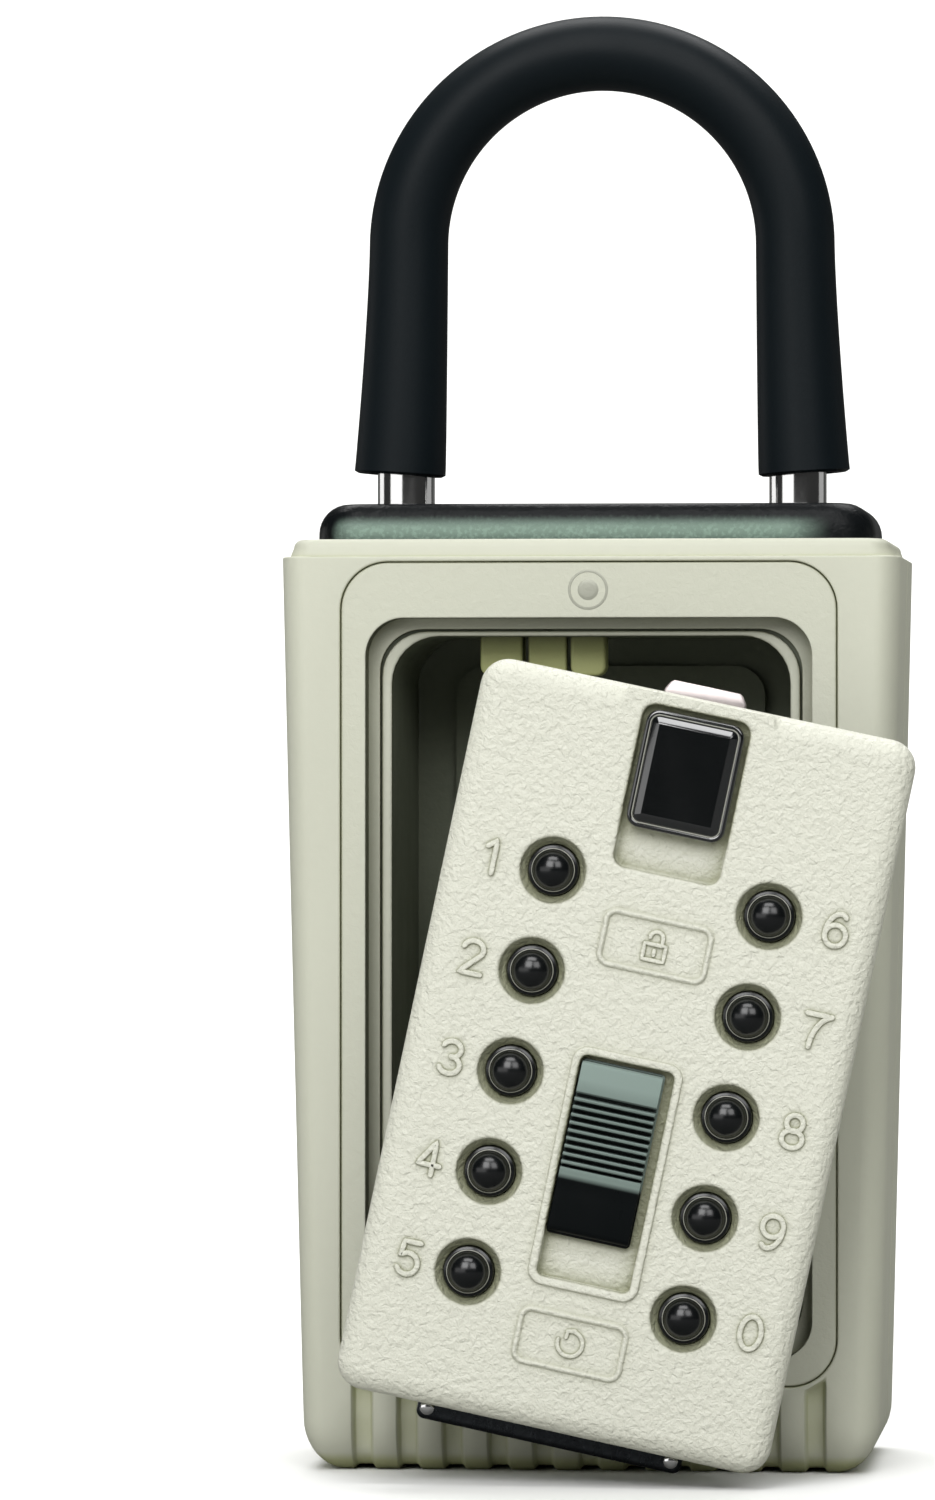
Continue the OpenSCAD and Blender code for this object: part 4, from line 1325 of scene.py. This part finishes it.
class KEYBOX_OT_slider(bpy.types.Operator):
    """Makes the ribbed clear slider"""
    bl_idname = "keybox.slider"
    bl_label = "Clear slider"

    def execute(self, context):
        skin = Skin(on_cover)
        top, w, h = -0.05, 9.1, 19.0
        foot = top - h
        skin.solid(moulding(w, h, 0.5, [(0.2, 1.0), (0.0, 0.85), (0.0, 0.25), (0.15, 0.1), (0.5, 0.1)],
                            (0, top - h / 2)))

        def across(profile, half):
            """A profile of (height, depth) pairs carried straight across the slider, with soft ends."""
            p = np.array(profile, float)
            middle = p.mean(axis=0)
            ends = [(-half, 0.97), (-half + 0.12, 1.0), (half - 0.12, 1.0), (half, 0.97)]
            loops = []
            for x, scale in ends:
                q = middle + (p - middle) * scale
                loops.append(np.column_stack([np.full(len(q), x), q[:, 1], q[:, 0]]))
            skin.solid(loops)

        half = w / 2 - 0.15
        head = [(top - 0.25, 0.3), (top - 0.25, -0.35), (top - 0.45, -0.62), (top - 0.75, -0.7)]
        head += [(top - 3.0, -0.62), (top - 3.55, -0.66), (top - 3.75, -0.5), (top - 3.75, 0.3)]
        across(head, half)
        for i in range(9):
            z = top - 4.12 - 0.85 * i
            across([(z, 0.3), (z, -0.6), (z - 0.1, -0.95), (z - 0.24, -1.05), (z - 0.4, -0.98),
                    (z - 0.58, -0.6), (z - 0.62, 0.3)], half)
        z = foot + 7.35
        tail = [(z, 0.3), (z, -0.55), (z - 0.12, -0.78), (z - 0.35, -0.8), (z - 0.6, -0.7),
                (foot + 4.5, -0.62), (foot + 1.0, -0.55), (foot + 0.55, -0.45), (foot + 0.3, -0.15),
                (foot + 0.25, 0.3)]
        across(tail, half)
        skin.solid(moulding(4.0, 6.0, 0.3, [(0.0, 0.9), (0.0, 4.6)], (0, -9.2)))
        skin.make("slider_thumb", slider_finish(), "clear_slide", "slider_grey", ["clear_slider"])
        return {"FINISHED"}


class KEYBOX_OT_hook_bar(bpy.types.Operator):
    """Makes the dark hook bar under the cover's foot and the two bright pins in it"""
    bl_idname = "keybox.hook_bar"
    bl_label = "Hook bar and pins"

    def execute(self, context):
        bar = Skin(on_cover)
        front, back = BOLT_FRONT, 6.6
        w, top, foot = 29.1, -37.85, -41.9
        profile = [(0.35, back), (0.1, back - 0.1), (0.0, back - 0.35), (0.0, front + 0.5)]
        profile += roll((0.0, front + 0.5), (0.5, front), 4, across=False)[1:] + [(0.65, front)]
        bar.solid(moulding(w, top - foot, 0.9, profile, (0, (top + foot) / 2)))
        bar.make("hook_plate", dark_steel(), "cover", "hook_steel", ["hook_bar"])
        pins = Skin(on_cover)
        for x in (-13.4, 13.4):
            pins.solid(turned([(0.5, 6.7), (0.5, 4.5), (0.75, 4.4), (0.78, 4.25), (0.65, 4.12), (0.35, 4.05)],
                              (x, -40.6), 24))
        pins.make("hook_studs", polished_chrome(), "cover", "chrome_bolt", ["hook_pins"])
        return {"FINISHED"}


def coil(skin, low, high, radius, wire, turns, place):
    """A coil spring: a circle of points that climbs steadily, with closed turns at both ends."""
    count = int(turns * 20)
    t = np.linspace(0, 1, count + 1)
    spin = t * turns * 2 * math.pi
    closed, thick = 1 / turns, 2 * wire / (high - low)
    climb = np.interp(t, [0, closed, 1 - closed, 1], [0.0, thick, 1 - thick, 1.0])
    height = low + wire + climb * (high - low - 2 * wire)
    local = np.column_stack([radius * np.cos(spin), radius * np.sin(spin), height])
    out = np.column_stack([np.cos(spin), np.sin(spin), 0 * spin])
    skin.tube(place(local), wire, place(out) - place(np.zeros((1, 3))), 8)


def shorten(spring):
    """Gives a spring its own copy of its mesh."""
    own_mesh(spring)


class KEYBOX_OT_springs(bpy.types.Operator):
    """Makes the coil springs behind the buttons, the open button and the clear slider"""
    bl_idname = "keybox.springs"
    bl_label = "Springs"

    def execute(self, context):
        for name, node, low, high, turns, joint, travel in (
                ("latch_coil", "latch_spring", 15.05, 25.45, 11, "open_button_slide", 4.3),
                ("clear_coil", "clear_spring", -36.45, -20.55, 15, "clear_slide", 4.2)):
            skin = Skin(on_cover)
            coil(skin, low, high, 1.25, 0.22, turns, lambda p: np.asarray(p) + [0, 5.4, 0])
            spring = skin.make(name, brushed_steel(), "cover", "spring_steel", [node])
            shorten(spring)
        for digit, x, z in button_places():
            skin = Skin(on_cover)
            coil(skin, 4.4, 6.8, 1.7, 0.18, 4, lambda p, x=x, z=z: np.asarray(p)[:, [0, 2, 1]] + [x, 0, z])
            spring = skin.make(f"button_coil_{digit}", brushed_steel(), "cover", "spring_steel",
                               ["button_springs"])
            shorten(spring)
        return {"FINISHED"}


# ---- finishes on the pieces kept from the model ----

class KEYBOX_OT_kept_pieces(bpy.types.Operator):
    """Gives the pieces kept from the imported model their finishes"""
    bl_idname = "keybox.kept_pieces"
    bl_label = "Kept pieces"

    def execute(self, context):
        finishes = {cavity_black(): ["vault_body"], case_zinc(): ["mechanism_case"],
                    brushed_steel(): ["lock_plate", "back_plate", "clear_comb", "block_screws",
                                      "jacket_screws", "plate_screws"],
                    post_brass(): [f"code_post_{i}" for i in range(10)]}
        for made, names in finishes.items():
            for name in names:
                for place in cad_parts[name].material_slots:
                    place.material = made
        return {"FINISHED"}


# ---- stage ----

def by_ray(tree, soft, mirrored, seen):
    """A colour that is one value for soft light, another in reflections and a third to the camera."""
    ray = tree.nodes.new("ShaderNodeLightPath").outputs
    unseen = blend(tree, ray["Is Glossy Ray"], soft, mirrored)
    return blend(tree, ray["Is Camera Ray"], unseen, seen)


def aim(made, place, target):
    """Puts a lamp or the camera at a place and turns it to a target."""
    made.location = place
    made.rotation_euler = (Vector(target) - Vector(place)).to_track_quat("-Z", "Y").to_euler()


def lamp(name, place, target, size, power, height=None):
    """A soft area light turned to its target."""
    data = bpy.data.lights.new(name, "AREA")
    data.shape = "RECTANGLE"
    data.size, data.size_y, data.energy = size, height or size, power
    made = bpy.data.objects.new(name, data)
    aim(made, place, target)
    bpy.context.scene.collection.objects.link(made)


class KEYBOX_OT_stage(bpy.types.Operator):
    """Sets the pale floor, the soft lights and the camera"""
    bl_idname = "keybox.stage"
    bl_label = "Stage"

    def execute(self, context):
        scene = context.scene
        turn = np.linspace(0, math.pi / 2, 17)
        rise = [(1.2 + 0.8 * math.sin(a), 0.8 * (1 - math.cos(a))) for a in turn[1:]]
        profile = [(-4.0, 0.0), (1.2, 0.0)] + rise + [(2.0, 4.0)]
        rows = np.array([[(x, y, z) for x in (-5.0, 5.0)] for y, z in profile])
        skin = Skin()
        skin.grid(rows / MM)
        mesh = bpy.data.meshes.new("floor")
        mesh.from_pydata(rows.reshape(-1, 3).tolist(), [], skin.faces)
        mesh.shade_smooth()
        floor = bpy.data.objects.new("floor", mesh)
        scene.collection.objects.link(floor)
        paper = bpy.data.materials.new("floor paper")
        paper.use_nodes = True
        tone = by_ray(paper.node_tree, (0.4, 0.4, 0.38, 1), (0.1, 0.1, 0.1, 1), (0.92, 0.92, 0.92, 1))
        paper.node_tree.links.new(tone, base_colour(paper))
        paper.node_tree.nodes["Principled BSDF"].inputs["Roughness"].default_value = 0.9
        mesh.materials.append(paper)

        world = bpy.data.worlds.new("studio")
        world.use_nodes = True
        tree = world.node_tree
        seen = by_ray(tree, (0.18, 0.19, 0.16, 1), (0.03, 0.03, 0.03, 1), (1, 1, 1, 1))
        tree.links.new(seen, tree.nodes["Background"].inputs["Color"])
        scene.world = world
        lamp("key", (-0.24, -0.96, 0.6), (0, 0, 0.07), 0.55, 5.9)
        lamp("fill", (0.42, -0.9, 0.56), (0, 0, 0.05), 0.5, 3.2)
        lamp("panel", (-0.48, -0.64, 0.12), (0, 0, 0.1), 0.72, 0.7, height=0.25)
        lamp("overhead", (0.0, -0.42, 0.72), (0, 0, 0.09), 0.5, 2.2, height=0.26)
        lamp("right edge", (0.85, 0.35, 0.12), (0, 0, 0.1), 0.5, 0.18, height=0.3)
        lamp("left edge", (-0.85, 0.35, 0.12), (0, 0, 0.1), 0.5, 0.5, height=0.3)
        lamp("back", (0.0, 0.9, 1.6), (0, 1.2, 0.2), 1.6, 40.0)

        data = bpy.data.cameras.new("camera")
        data.lens, data.sensor_width = 191.9, 36.0
        camera = bpy.data.objects.new("camera", data)
        aim(camera, (0.071, -0.889, 0.079), (-0.0132, -0.019, 0.079))
        scene.collection.objects.link(camera)
        scene.camera = camera
        scene.view_settings.view_transform = "Standard"
        return {"FINISHED"}


PIECES = (KEYBOX_OT_jacket, KEYBOX_OT_frames, KEYBOX_OT_tabs, KEYBOX_OT_top_block, KEYBOX_OT_shackle,
          KEYBOX_OT_cover, KEYBOX_OT_buttons, KEYBOX_OT_open_button, KEYBOX_OT_slider, KEYBOX_OT_hook_bar,
          KEYBOX_OT_springs, KEYBOX_OT_kept_pieces, KEYBOX_OT_stage)


class KEYBOX_PT_panel(bpy.types.Panel):
    """Lists the key box's sizes, colours and pieces"""
    bl_idname = "KEYBOX_PT_panel"
    bl_label = "Key Lock Box"
    bl_space_type = "VIEW_3D"
    bl_region_type = "UI"
    bl_category = "Key Box"

    def draw(self, context):
        for settings in (sizes(), colours()):
            column = self.layout.column(align=True)
            for name in settings.__annotations__:
                column.prop(settings, name)
        for piece in PIECES:
            self.layout.operator(piece.bl_idname)


CLASSES = (KeyBoxSizes, KeyBoxColours, *PIECES, KEYBOX_PT_panel)


def register():
    for one in CLASSES:
        bpy.utils.register_class(one)
    bpy.types.Scene.key_box_sizes = bpy.props.PointerProperty(type=KeyBoxSizes)
    bpy.types.Scene.key_box_colours = bpy.props.PointerProperty(type=KeyBoxColours)


def unregister():
    del bpy.types.Scene.key_box_colours
    del bpy.types.Scene.key_box_sizes
    for one in reversed(CLASSES):
        bpy.utils.unregister_class(one)


def main():
    """Builds every piece and the stage."""
    register()
    for piece in PIECES:
        getattr(bpy.ops.keybox, piece.bl_idname.split(".")[1])()


if __name__ == "__main__":
    main()
